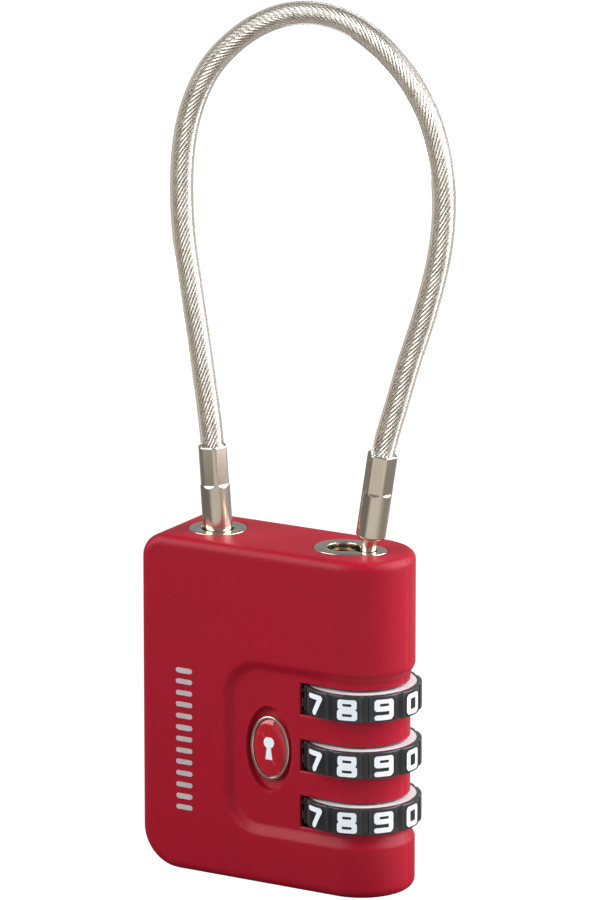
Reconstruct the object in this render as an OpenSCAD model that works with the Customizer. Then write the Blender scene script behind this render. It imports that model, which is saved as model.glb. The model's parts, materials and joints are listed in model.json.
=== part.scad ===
// Cable luggage lock: two moulded shells around a zinc chassis, three number dials
// with a comb that reads them, a cable loop with a sliding locking pin, and a key
// cylinder for inspection. Origin: centre of the lock's footprint, dials included.

/* [Body] */
// Width of the moulded body, from its flat end to its round end
body_w = 33.8; // [31:0.2:41]
// Thickness of the body, and twice the radius of its round end
body_t = 13; // [12.6:0.1:15.6]
// Height of the body above the middle of the top dial
head_h = 17.9; // [15:0.1:22]
// Wall of the two shells
wall = 1.3; // [1:0.1:1.6]
// Radius of the soft edges
edge_r = 1.1; // [0.5:0.1:2]
// Radius of the lower corner at the flat end
corner_low_r = 5; // [3:0.5:6]
// Radius of the upper corner at the flat end
corner_top_r = 3; // [2:0.5:3.5]

/* [Waist] */
// Depth of the recessed panel that runs round the dial end
waist_depth = 0.6; // [0.3:0.1:0.8]
// Reach of the panel below the middle of the lowest dial
waist_below = 3.1; // [2.6:0.1:4]
// Reach of the panel above the middle of the top dial
waist_above = 3.4; // [2.6:0.1:4]
// Reach of the panel to the left of the dial axis
waist_reach = 14.9; // [12:0.1:16]
// Corner radius of the panel
waist_r = 4.2; // [2:0.1:6]

/* [Dials] */
// Radius of a number dial
dial_r = 7.3; // [6.9:0.05:8.8]
// Height of a number dial
dial_h = 3.3; // [2.8:0.1:3.5]
// Distance from one dial to the next
dial_pitch = 7.05; // [6.9:0.05:8.5]
// Height of the lowest dial's middle
dial_low_z = 10; // [9.8:0.1:12]
// Width of the black rim outside the white core
rim_w = 0.65; // [0.4:0.05:1]
// Angle by which the dials lag behind their exact stop
dial_lag = 2; // [0:0.5:4]
// Gap above and below a dial in its window
window_gap = 0.28; // [0.2:0.02:0.4]
// Reach of a window to the left of the dial axis
window_reach = 5.1; // [4.6:0.1:6]

/* [Code mechanism] */
// Radius of the spindle
spindle_r = 1.2; // [0.9:0.05:1.3]
// Outer radius of a code sleeve
sleeve_r = 2.4; // [2.1:0.05:2.6]
// Radius of the code disc at the foot of a sleeve
disc_r = 3.4; // [3:0.05:3.5]
// Distance of the disc's flats from the axis
disc_flat = 2.6; // [2.5:0.05:2.8]
// Travel of the reset button and the spindle
reset_travel = 0.8; // [0.6:0.05:0.8]
// Travel of the comb into the discs
comb_travel = 0.8; // [0.5:0.05:0.8]
// Distance from the dials to the chassis web
web_gap = 3.5; // [3.4:0.1:4]

/* [Cable end] */
// Distance from the dial axis to the large hole of the keyhole
hole_reach = 2.55; // [2.3:0.05:3]
// Travel of the locking pin from locked to open
pin_travel = 3.55; // [2.9:0.05:3.8]
// Radius of the pin's neck
neck_r = 0.95; // [0.7:0.05:1.05]
// Radius of the pin's head
head_r = 1.75; // [1.5:0.05:1.8]
// Radius of the keyhole's large hole
hole_r = 2; // [1.9:0.05:2.2]
// Lean of the free ferrule away from the upright
pin_lean = 9.1; // [6:0.1:10]
// Height of the free ferrule above the body, along its own axis
ferrule_stand = 1.85; // [1.5:0.05:3]
// Length of the free ferrule
free_ferrule_l = 10.55; // [9:0.05:12]

/* [Fixed end] */
// Distance from the flat end to the fixed ferrule
fixed_reach = 7.15; // [7:0.05:8.5]
// Lean of the fixed ferrule away from the upright
fixed_lean = 4.2; // [0:0.1:5]
// Length of the fixed ferrule above the body
fixed_ferrule_l = 10.25; // [9:0.05:12]
// Radius of the round part of both ferrules
ferrule_r = 1.8; // [1.6:0.05:1.85]
// Width across the flats of the crimped part
crimp_w = 3.3; // [3:0.05:3.5]
// Length of the crimped part
crimp_l = 5.1; // [4:0.1:6]
// Radius of the bush's flange
flange_r = 3.55; // [3.2:0.05:4]

/* [Cable] */
// Diameter of the clear jacket
jacket_d = 2.8; // [2.4:0.1:3.2]
// Diameter of the twisted steel rope in it
rope_d = 1.6; // [1.4:0.1:2]

/* [Key cylinder] */
// Radius of the turning key cylinder
key_r = 2.7; // [2.4:0.05:2.8]
// Wall of the cylinder's sleeve
key_wall = 0.64; // [0.5:0.02:0.8]
// Distance from the flat end to the key cylinder
key_reach = 11.7; // [11:0.1:12]

/* [Badge] */
// Half width of the oval badge
badge_x = 2.7; // [2:0.1:3]
// Half height of the oval badge
badge_z = 4; // [3:0.1:4.4]
// Distance from the dials to the middle of the badge
badge_gap = 2.2; // [2.1:0.1:2.6]

/* [Clearances] */
// Radial clearance of a shaft in its bore
fit = 0.05; // [0.02:0.01:0.08]
// Clearance between parts that slide past each other
slide_gap = 0.1; // [0.05:0.01:0.2]
// Half of the gap along the parting line of the shells
parting = 0.02; // [0.01:0.01:0.05]

/* [Hidden] */
$fn = 64;

// The dials stand proud of the round end, so the footprint's centre lies
// half that much to the right of the body's own middle.
proud = dial_r - body_t / 2;
body_left = -(body_w + proud) / 2;
dial_x = body_left + body_w - body_t / 2;
dial_count = 3;
digits = 10;
window_h = dial_h + 2 * window_gap;
function dial_z(i) = dial_low_z + (dial_count - i) * dial_pitch;
body_h = dial_z(1) + head_h;
waist_low = dial_low_z - waist_below;
waist_h = dial_z(1) + waist_above - waist_low;

// Places on the top face
hole_x = dial_x - hole_reach;
pin_x = hole_x + pin_travel - slide_gap;
fixed_x = body_left + fixed_reach;
plate_t = wall;
plate_proud = 0.05;
lobe_big_r = hole_r + 1.6;
lobe_small_r = neck_r + 1.35;
flange_t = 0.95;
bush_bore_r = ferrule_r + 0.25;
bush_r = bush_bore_r + 0.55;

// Chassis levels, from the dials outwards
inner_t = body_t / 2 - wall;
waist_inner = inner_t - waist_depth;
deck_t = 1.5;
disc_t = 1;
disc_drop = dial_h / 2 + reset_travel + 0.3;
sleeve_top = dial_pitch - disc_drop - disc_t - slide_gap;
low_deck_z = dial_low_z - disc_drop - disc_t - 0.35 - deck_t;
ring_t = 0.3;
ring_z = dial_z(1) + sleeve_top + slide_gap;
high_deck_z = ring_z + ring_t + reset_travel + slide_gap;
block_top = body_h + plate_proud - plate_t - fit;
// The room over the upper deck holds the spindle's spring below the carriage block
spring_share = 0.33;
head_room = block_top - high_deck_z - deck_t;
block_z = block_top - head_room * (1 - spring_share);
bush_low = block_z + 1.8;
floor_t = 1;
web_t = 1.6;
web_x = dial_x - dial_r - web_gap;
spindle_top = high_deck_z + deck_t + 0.25;
boss_h = 0.5;

// Carriage and comb
carriage_l = 6.8;
carriage_left = dial_x - 3.8;
carriage_y = 2.7;
carriage_z = block_z + floor_t + slide_gap;
carriage_top = block_top - 0.25;
post_r = 0.5;
post_x = carriage_left + 0.8;
post_y = comb_travel / 2;
post_reach = 1.6;
slot_depth = 2.8;
slot_low = carriage_z - 1;
slot_r = post_r + slide_gap;
arm_half_w = 0.6;
finger_drop = disc_drop + disc_t - 0.1;
finger_t = 0.8;
finger_y = disc_r + slide_gap;
finger_w = 0.9;
spine_x = web_x + web_t + 0.2;
spine_w = 1.1;
arm_z = block_z - 1.7;
arm_t = 1;
comb_spring_x = spine_x + 3.2;

// Key cylinder and its tail
key_x = body_left + key_reach;
key_top = 8.9;
tail_top = arm_z + arm_t + 0.2;
tail_w = 1.8;
tail_t = 0.9;
wafer_count = 5;
wafer_t = 0.42;
wafer_pitch = 1.1;
wafer_low = 1.8;
wafer_gap = 0.03;
core_low = 0.3;

// Badge
badge_cx = dial_x - dial_r - badge_gap;
badge_cz = waist_low + waist_h / 2;
badge_t = 0.8;
pocket_depth = 0.8;
pocket_margin = [0.4, 1.3];

// Points of the cable's middle line, from the fixed ferrule to the free one
cable_route = [
  [-10.9, 52.24], [-11.25, 55.5], [-11.8, 59], [-12.5, 63.5], [-13.3, 68.2], [-14.1, 73],
  [-14.8, 77.6], [-15.1, 82], [-15.05, 86.2], [-14.5, 90.6], [-13.2, 94.8],
  [-11.1, 98.7], [-8, 102], [-4, 104.8], [0.6, 106.5], [5, 106.7], [9.2, 105.6],
  [13, 103.2], [16.2, 100.1], [18.6, 96.5], [20.2, 92.2], [20.95, 88], [21, 83.6],
  [20.4, 79], [19.3, 74.6], [17.9, 70.1], [16.3, 65.6], [14.9, 61], [13.6, 57], [12.87, 54.26]
];
cable_sides = 8;

// ---- outlines and helpers ----

// Half profile of a disc of radius r and thickness t with rounded edges e
function rounded_half(r, t, e, n = 6) = concat(
  [[0, -t / 2]],
  [for (k = [0:n]) [r - e + e * sin(90 * k / n), -t / 2 + e - e * cos(90 * k / n)]],
  [for (k = [0:n]) [r - e + e * cos(90 * k / n), t / 2 - e + e * sin(90 * k / n)]],
  [[0, t / 2]]
);

function oval(a, b, n = 48) = [for (k = [0:n - 1]) [a * cos(360 * k / n), b * sin(360 * k / n)]];

module rounded_disc(r, t, e) rotate_extrude($fn = 32) polygon(rounded_half(r, t, e));

// The whole outer body, shrunk by inset
module body_form(inset) {
  e = max(edge_r - inset, 0.2);
  hull() {
    translate([body_left + corner_low_r, 0, corner_low_r])
      rotate([90, 0, 0]) rounded_disc(corner_low_r - inset, body_t - 2 * inset, e);
    translate([body_left + corner_top_r, 0, body_h - corner_top_r])
      rotate([90, 0, 0]) rounded_disc(corner_top_r - inset, body_t - 2 * inset, e);
    translate([dial_x, 0, body_h / 2])
      rounded_disc(body_t / 2 - inset, body_h - 2 * inset, e);
  }
}

// Plan of the round-ended body at a given half thickness
module plan(half) {
  translate([dial_x, 0]) circle(half);
  translate([body_left - 1, -half]) square([dial_x - body_left + 1, 2 * half]);
}

// What the recessed panel takes away outside its own plan; grow thickens it for the inside
module waist_cut(grow) {
  low = waist_low - grow;
  high = waist_low + waist_h + grow;
  left = dial_x - waist_reach - grow;
  difference() {
    rotate([90, 0, 0]) linear_extrude(2 * body_t, center = true) {
      translate([left + waist_r, low]) square([body_w, high - low]);
      translate([left, low + waist_r]) square([waist_r, high - low - 2 * waist_r]);
      translate([left + waist_r, low + waist_r]) circle(waist_r);
      translate([left + waist_r, high - waist_r]) circle(waist_r);
    }
    linear_extrude(body_h) plan(body_t / 2 - waist_depth - grow);
  }
}

// Teardrop outline of the keyhole plate
module plate_outline(gap) {
  hull() {
    translate([hole_x, 0]) circle(lobe_big_r + gap);
    translate([pin_x + 0.05, 0]) circle(lobe_small_r + gap);
  }
}

module at_pin() translate([pin_x, 0, body_h]) rotate([0, pin_lean, 0]) children();

module at_fixed() translate([fixed_x, 0, body_h]) rotate([0, -fixed_lean, 0]) children();

module on_axis(z) translate([dial_x, 0, z]) children();

// A hollow closed coil drawn as rings, for the two small springs
module coil(mean_r, wire_r, length, turns) {
  pitch = (length - 2 * wire_r) / turns;
  for (k = [0:turns])
    translate([0, 0, wire_r + k * pitch])
      rotate_extrude($fn = 32) translate([mean_r, 0]) circle(wire_r, $fn = 16);
  for (k = [0:turns - 1])
    rotate([0, 0, 180 * k]) translate([mean_r, 0, wire_r + k * pitch])
      cylinder(r = wire_r * 0.7, h = pitch, $fn = 16);
}

// ---- shells ----

module windows() {
  for (i = [1:dial_count]) {
    translate([dial_x - window_reach, -body_t, dial_z(i) - window_h / 2])
      cube([body_w, 2 * body_t, window_h]);
    on_axis(dial_z(i) - window_h / 2) cylinder(r = dial_r + 2 * slide_gap, h = window_h);
  }
}

module top_openings() {
  translate([0, 0, body_h - 2 * wall]) linear_extrude(3 * wall) plate_outline(fit);
  translate([fixed_x, 0, body_h - 2 * wall]) cylinder(r = bush_r + fit, h = 3 * wall);
  translate([fixed_x, 0, body_h + plate_proud - flange_t]) cylinder(r = flange_r + fit, h = flange_t);
}

module bottom_openings() {
  translate([key_x, 0, -1]) cylinder(r = key_r + fit + key_wall + fit, h = 3 * wall);
  translate([dial_x, 0, -1]) cylinder(r = button_r + slide_gap, h = 3 * wall);
}

module whole_shell() {
  difference() {
    body_form(0);
    waist_cut(0);
    difference() {
      body_form(wall);
      waist_cut(wall);
    }
    windows();
    top_openings();
    bottom_openings();
  }
}

module front_shell() {
  color("firebrick") difference() {
    whole_shell();
    translate([-body_w, -parting, -body_h]) cube([2 * body_w, body_t, 3 * body_h]);
    translate([badge_cx, -body_t / 2 + waist_depth + pocket_depth, badge_cz])
      rotate([90, 0, 0]) linear_extrude(body_t)
        polygon(oval(badge_x + pocket_margin[0], badge_z + pocket_margin[1]));
  }
}

module rear_shell() {
  color("firebrick") difference() {
    whole_shell();
    translate([-body_w, parting - body_t, -body_h]) cube([2 * body_w, body_t, 3 * body_h]);
  }
}

module badge() {
  color("crimson") translate([badge_cx, -body_t / 2 + waist_depth + pocket_depth, badge_cz])
    rotate([90, 0, 0]) {
      linear_extrude(badge_t / 2) polygon(oval(badge_x, badge_z));
      linear_extrude(badge_t) polygon(oval(badge_x - 0.5, badge_z - 0.5));
    }
}

// ---- top fittings ----

module keyhole_plate() {
  slot_r = neck_r + 0.15;
  color("silver") translate([0, 0, body_h + plate_proud - plate_t]) difference() {
    linear_extrude(plate_t) plate_outline(0);
    translate([hole_x, 0, -1]) cylinder(r = hole_r, h = plate_t + 2);
    translate([hole_x, -slot_r, -1]) cube([pin_x - hole_x, 2 * slot_r, plate_t + 2]);
    translate([pin_x, 0, -1]) cylinder(r = slot_r, h = plate_t + 2);
  }
}

module cable_bush() {
  color("silver") difference() {
    union() {
      translate([fixed_x, 0, body_h + plate_proud - flange_t]) cylinder(r = flange_r, h = flange_t);
      translate([fixed_x, 0, bush_low]) cylinder(r = bush_r, h = body_h + plate_proud - bush_low - 0.1);
    }
    translate([fixed_x, 0, bush_low - 1]) cylinder(r = bush_bore_r, h = body_h);
  }
}

// Crimped ferrule standing on its own axis: round below, hexagonal above
module ferrule(low, high) {
  translate([0, 0, low]) cylinder(r = ferrule_r, h = high - crimp_l - low);
  translate([0, 0, high - crimp_l]) rotate([0, 0, 30])
    cylinder(r = crimp_w / 2 / cos(30), h = crimp_l, $fn = 6);
}

tail_r = ferrule_r - 0.6;
tail_low = (bush_low - body_h) / cos(fixed_lean) - 0.9;
tail_neck = -(flange_t + 0.65);
washer_t = 0.6;

module fixed_ferrule() {
  color("silver") at_fixed() {
    ferrule(tail_neck, fixed_ferrule_l);
    translate([0, 0, tail_low - 0.8]) cylinder(r = tail_r, h = tail_neck - tail_low + 0.8);
    translate([0, 0, tail_low - 0.8]) cylinder(r = tail_r + 0.6, h = 0.7);
  }
}

module anchor_washer() {
  color("gray") at_fixed() translate([0, 0, tail_low]) difference() {
    cylinder(r = bush_r, h = washer_t);
    translate([0, 0, -1]) cylinder(r = tail_r + fit, h = washer_t + 2);
  }
}

shank_l = 2.7;

module free_ferrule() {
  top = ferrule_stand + free_ferrule_l;
  color("silver") at_pin() difference() {
    ferrule(ferrule_stand, top);
    translate([0, 0, ferrule_stand - 1]) cylinder(r = neck_r + fit, h = shank_l + 1);
  }
}

head_t = 1.2;
head_drop = plate_t + 2.7;

module locking_pin() {
  color("silver") at_pin() {
    translate([0, 0, -head_drop]) cylinder(r = neck_r, h = head_drop + ferrule_stand + shank_l - 0.1);
    translate([0, 0, -head_drop]) cylinder(r = head_r, h = head_t);
  }
}

// ---- cable ----

function route_point(p) = [p[0], 0, p[1]];

function route_dir(i, last) =
  let (a = cable_route[max(i - 1, 0)], b = cable_route[min(i + 1, last)])
    [b[0] - a[0], b[1] - a[1]] / norm(b - a);

function end_dir(i, last) =
  i == 0 ? [-sin(fixed_lean), cos(fixed_lean)]
  : i == last ? [-sin(pin_lean), -cos(pin_lean)]
  : route_dir(i, last);

function cable_rings(r) =
  let (last = len(cable_route) - 1)
    [for (i = [0:last])
      let (d = end_dir(i, last), p = cable_route[i], n = [d[1], -d[0]])
        for (k = [0:cable_sides - 1])
          let (a = 360 * (k + 0.5) / cable_sides, s = r * cos(a))
            [p[0] + n[0] * s, r * sin(a), p[1] + n[1] * s]];

function side_faces(rings, base, flip) =
  [for (i = [0:rings - 2]) for (k = [0:cable_sides - 1])
    let (
      m = (k + 1) % cable_sides,
      a = base + i * cable_sides + k,
      b = base + i * cable_sides + m,
      c = b + cable_sides,
      d = a + cable_sides
    )
      flip ? [a, b, c, d] : [d, c, b, a]];

module cable_rope() {
  rings = len(cable_route);
  color("gainsboro") polyhedron(
    points = cable_rings(rope_d / 2 / cos(180 / cable_sides)),
    faces = concat(
      side_faces(rings, 0, true),
      [[for (k = [0:cable_sides - 1]) cable_sides - 1 - k]],
      [[for (k = [0:cable_sides - 1]) (rings - 1) * cable_sides + k]]
    )
  );
}

module cable_jacket() {
  rings = len(cable_route);
  inner = rings * cable_sides;
  last = (rings - 1) * cable_sides;
  color([0.9, 0.9, 0.9, 0.5]) polyhedron(
    points = concat(
      cable_rings(jacket_d / 2 / cos(90 / cable_sides)),
      cable_rings((rope_d / 2 + fit) / cos(180 / cable_sides))
    ),
    faces = concat(
      side_faces(rings, 0, true),
      side_faces(rings, inner, false),
      [for (k = [0:cable_sides - 1]) let (m = (k + 1) % cable_sides) [m, k, inner + k, inner + m]],
      [for (k = [0:cable_sides - 1]) let (m = (k + 1) % cable_sides)
        [last + k, last + m, inner + last + m, inner + last + k]]
    )
  );
}

// ---- dials and code sleeves ----

core_r = dial_r - rim_w;
step_r = sleeve_r + 0.7;
rib_r = sleeve_r + 0.6;
rib_w = 0.8;
rib_h = 0.65;
rib_top = -0.3;

module dial_ring(i) {
  color("black") on_axis(dial_z(i) - dial_h / 2) difference() {
    cylinder(r = dial_r, h = dial_h);
    translate([0, 0, -1]) cylinder(r = core_r + 0.01, h = dial_h + 2);
    for (k = [0:digits - 1])
      rotate([0, 0, -90 - dial_lag + 360 / digits * k]) translate([dial_r + 0.12, 0, -1]) rotate([0, 0, 45])
        translate([-0.25, -0.25, 0]) cube([0.5, 0.5, dial_h + 2]);
  }
}

module dial_core(i) {
  color("white") on_axis(dial_z(i)) difference() {
    translate([0, 0, -dial_h / 2]) cylinder(r = core_r, h = dial_h);
    translate([0, 0, -dial_h]) cylinder(r = sleeve_r + fit, h = 2 * dial_h);
    translate([0, 0, rib_top + 0.05]) cylinder(r = step_r, h = dial_h);
    for (k = [0:digits / 2 - 1])
      rotate([0, 0, 360 / digits * k])
        translate([-rib_r - slide_gap, -rib_w / 2 - slide_gap, -dial_h])
          cube([2 * (rib_r + slide_gap), rib_w + 2 * slide_gap, dial_h + rib_top + 0.1]);
  }
}

module code_sleeve(i) {
  color("goldenrod") on_axis(dial_z(i)) difference() {
    union() {
      translate([0, 0, -disc_drop - disc_t]) cylinder(r = sleeve_r, h = disc_drop + disc_t + sleeve_top);
      intersection() {
        translate([0, 0, -disc_drop - disc_t]) cylinder(r = disc_r, h = disc_t);
        translate([-disc_r, -disc_flat, -disc_drop - disc_t]) cube([2 * disc_r, 2 * disc_flat, disc_t]);
      }
      translate([-rib_r, -rib_w / 2, rib_top - rib_h]) cube([2 * rib_r, rib_w, rib_h]);
    }
    translate([0, 0, -dial_pitch]) cylinder(r = spindle_r + fit, h = 2 * dial_pitch);
  }
}

// ---- spindle and reset ----

button_r = 1.6;
button_flange_r = 2.4;
button_top = low_deck_z - reset_travel - 0.3;
button_low = 0.4;

module dial_spindle() {
  collar_z = low_deck_z + deck_t + slide_gap;
  color("silver") {
    on_axis(button_top) cylinder(r = spindle_r, h = spindle_top - button_top);
    on_axis(collar_z) cylinder(r = spindle_r + 0.8, h = 0.2);
  }
}

module reset_button() {
  color("dimgray") {
    on_axis(button_low) cylinder(r = button_r, h = button_top - button_low);
    on_axis(wall + slide_gap) cylinder(r = button_flange_r, h = 0.5);
  }
}

module retaining_ring() {
  color("dimgray") on_axis(ring_z) difference() {
    cylinder(r = spindle_r + 0.7, h = ring_t);
    translate([0, 0, -1]) cylinder(r = spindle_r + 0.01, h = ring_t + 2);
  }
}

module spindle_spring() {
  gap = 0.05;
  length = block_z - boss_h - spindle_top - 2 * gap;
  color("gray") on_axis(spindle_top + gap) coil(0.95, 0.18, length, 4);
}

// ---- chassis ----

module chassis() {
  half = waist_inner - 0.3;
  left_block_l = web_x - body_left - wall - 2.2;
  color("lightgray") difference() {
    union() {
      translate([web_x, -half, low_deck_z]) cube([web_t, 2 * half, block_top - low_deck_z]);
      intersection() {
        translate([web_x, -half, low_deck_z]) cube([body_w, 2 * half, deck_t]);
        linear_extrude(body_h) plan(half);
      }
      intersection() {
        translate([web_x, -half, high_deck_z]) cube([body_w, 2 * half, deck_t]);
        linear_extrude(body_h) plan(half);
      }
      intersection() {
        translate([web_x, -half, block_z]) cube([body_w, 2 * half, block_top - block_z]);
        linear_extrude(body_h) plan(inner_t - 0.3);
      }
      translate([web_x - left_block_l, -half, bush_low]) cube([left_block_l + 0.1, 2 * half, 3]);
      translate([web_x - 8.8, -half, low_deck_z]) cube([8.9, 2 * half, 3.6]);
      on_axis(block_z - boss_h) cylinder(r = 1.3, h = boss_h + 0.1);
      translate([comb_spring_x - 0.8, 0.6, arm_z]) cube([1.6, 0.75, block_z - arm_z + 0.1]);
    }
    translate([carriage_left - pin_travel - 0.25, -carriage_y - slide_gap, block_z + floor_t])
      cube([carriage_l + pin_travel + 0.5, 2 * (carriage_y + slide_gap), body_h]);
    translate([post_x - post_r - slide_gap, post_y - comb_travel - post_r - slide_gap, block_z - 1])
      cube([2 * (post_r + slide_gap), comb_travel + 2 * (post_r + slide_gap), floor_t + 2]);
    translate([web_x + web_t, finger_y - comb_travel - slide_gap, high_deck_z - 1])
      cube([spine_w + 0.4, half + 1, deck_t + 2]);
    on_axis(0) cylinder(r = spindle_r + fit, h = block_z - boss_h - 0.1);
    translate([fixed_x, 0, block_z]) cylinder(r = bush_r + fit, h = body_h);
    translate([key_x, 0, 0]) cylinder(r = key_r + fit + key_wall + 0.02, h = low_deck_z + 5);
    for (z = rivet_z)
      translate([web_x - 1, rivet_y, z]) rotate([0, 90, 0]) cylinder(r = rivet_r + 0.02, h = web_t + 2);
  }
}

// ---- detent spring: one leaf with a finger against each dial ----

leaf_t = 0.25;
leaf_x = web_x + web_t + 0.05;
leaf_low = dial_low_z - 1;
leaf_high = dial_z(1) + 1;
leaf_y = -1.2;
rivet_r = 0.4;
rivet_y = -1.2;
rivet_z = [dial_low_z + dial_pitch / 2, dial_low_z + dial_pitch * 1.5];

module detent_spring() {
  reach = dial_x - dial_r - leaf_x - 0.06;
  color("silver") difference() {
    union() {
      translate([leaf_x, leaf_y - 0.9, leaf_low]) cube([leaf_t, 1.8, leaf_high - leaf_low]);
      for (i = [1:dial_count]) {
        translate([leaf_x, leaf_y - 0.9, dial_z(i) - 0.5]) cube([leaf_t, 2.6, 1]);
        translate([leaf_x, 0.2, dial_z(i) - 0.5]) cube([reach - 0.3, leaf_t, 1]);
        translate([leaf_x + reach - 0.4, 0.2 + leaf_t / 2, dial_z(i) - 0.5]) cylinder(r = 0.4, h = 1);
      }
    }
    for (z = rivet_z)
      translate([leaf_x - 1, rivet_y, z]) rotate([0, 90, 0]) cylinder(r = rivet_r + 0.02, h = 3);
  }
}

module detent_rivets() {
  color("gray") for (z = rivet_z) {
    translate([web_x + 0.2, rivet_y, z]) rotate([0, 90, 0]) cylinder(r = rivet_r, h = web_t + 0.4);
    translate([leaf_x + leaf_t + 0.01, rivet_y, z]) rotate([0, 90, 0]) cylinder(r = rivet_r + 0.3, h = 0.25);
  }
}

// ---- comb and carriage ----

module locking_comb() {
  spine_low = dial_z(dial_count) - finger_drop;
  arm_y = post_y - post_r;
  color("darkgray") {
    translate([spine_x, finger_y, spine_low])
      cube([spine_w, finger_w, arm_z + arm_t - spine_low]);
    for (i = [1:dial_count])
      translate([spine_x, finger_y, dial_z(i) - finger_drop])
        cube([dial_x + 0.8 - spine_x, finger_w, finger_t]);
    translate([spine_x, finger_y, arm_z])
      cube([post_x + arm_half_w - spine_x, finger_w, arm_t]);
    translate([post_x - arm_half_w, arm_y, arm_z])
      cube([2 * arm_half_w, finger_y + finger_w - arm_y, arm_t]);
    translate([post_x, post_y, arm_z])
      cylinder(r = post_r, h = carriage_z + post_reach - arm_z);
  }
}

module comb_spring() {
  length = finger_y - 1.35 - 0.1;
  color("gray") translate([comb_spring_x, finger_y - 0.05, arm_z + 0.5])
    rotate([90, 0, 0]) coil(0.38, 0.1, length, 5);
}

module pin_carriage() {
  pocket_x = pin_x - (head_drop - head_t / 2) * tan(pin_lean);
  color("goldenrod") difference() {
    translate([carriage_left, -carriage_y, carriage_z])
      cube([carriage_l, 2 * carriage_y, carriage_top - carriage_z]);
    translate([pocket_x, 0, body_h - head_drop - 0.5]) cylinder(r = head_r + 0.4, h = body_h);
    // A sloping slot for the comb's post, round at both ends
    translate([post_x, post_y, slot_low]) cylinder(r = slot_r, h = slot_depth);
    translate([post_x + pin_travel, post_y - comb_travel, slot_low])
      cylinder(r = slot_r, h = slot_depth);
    translate([post_x, post_y, slot_low]) rotate([0, 0, -atan(comb_travel / pin_travel)])
      translate([0, -slot_r, 0])
        cube([norm([pin_travel, comb_travel]), 2 * slot_r, slot_depth]);
  }
}

// ---- key cylinder ----

module key_cylinder() {
  color("silver") difference() {
    translate([key_x, 0, core_low]) cylinder(r = key_r, h = key_top - core_low);
    translate([key_x - 0.4, -1.8, -1])
      cube([0.8, 3.6, wafer_low + wafer_count * wafer_pitch + 1]);
    for (k = [0:wafer_count - 1])
      translate([key_x - 1, -key_r - 1, wafer_low + k * wafer_pitch - wafer_gap])
        cube([2, 2 * key_r + 2, wafer_t + 2 * wafer_gap]);
  }
}

module cylinder_wafers() {
  color("goldenrod") for (k = [0:wafer_count - 1])
    translate([key_x, 0, wafer_low + k * wafer_pitch]) difference() {
      translate([-0.95, -key_r + 0.25, 0]) cube([1.9, 2 * key_r - 0.5, wafer_t]);
      translate([-0.5, -1 + 0.1 * k, -1]) cube([1, 1.7, wafer_t + 2]);
    }
}

module cylinder_sleeve() {
  color("silver") translate([key_x, 0, 0.15]) difference() {
    cylinder(r = key_r + fit + key_wall, h = low_deck_z + 3.6);
    translate([0, 0, -1]) cylinder(r = key_r + fit, h = body_h);
  }
}

module cylinder_tail() {
  color("gray") translate([key_x - tail_w / 2, -tail_t / 2, key_top])
    cube([tail_w, tail_t, tail_top - key_top]);
}

module release_cam() {
  color("gray") translate([key_x, 0, arm_z]) difference() {
    union() {
      cylinder(r = 1.6, h = arm_t);
      translate([-0.7, 0, 0]) cube([1.4, 3.3, arm_t]);
      translate([0, 3.3, 0]) cylinder(r = 0.7, h = arm_t);
    }
    translate([-tail_w / 2 - fit, -tail_t / 2 - fit, -1])
      cube([tail_w + 2 * fit, tail_t + 2 * fit, arm_t + 2]);
  }
}

front_shell();
rear_shell();
badge();
chassis();
keyhole_plate();
cable_bush();
anchor_washer();
fixed_ferrule();
free_ferrule();
locking_pin();
cable_rope();
cable_jacket();
dial_ring(1);  // dial_ring_1
dial_ring(2);  // dial_ring_2
dial_ring(3);  // dial_ring_3
dial_core(1);  // dial_core_1
dial_core(2);  // dial_core_2
dial_core(3);  // dial_core_3
code_sleeve(1);  // code_sleeve_1
code_sleeve(2);  // code_sleeve_2
code_sleeve(3);  // code_sleeve_3
dial_spindle();
reset_button();
retaining_ring();
spindle_spring();
detent_spring();
detent_rivets();
locking_comb();
comb_spring();
pin_carriage();
key_cylinder();
cylinder_wafers();
cylinder_sleeve();
cylinder_tail();
release_cam();
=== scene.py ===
# %% [markdown]
# # A cable luggage lock, step by step
#
# The lock is two moulded half shells around a small mechanism, three number dials, and a loop
# of clear-jacketed wire rope with a crimped metal ferrule at each end. The mechanism arrives
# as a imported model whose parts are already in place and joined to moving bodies. This script
# gives every part that shows its real surface and finish.
#
# Shapes are worked out in millimetres, which suits an object this small, and turned into
# metres when a mesh is made.

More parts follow.
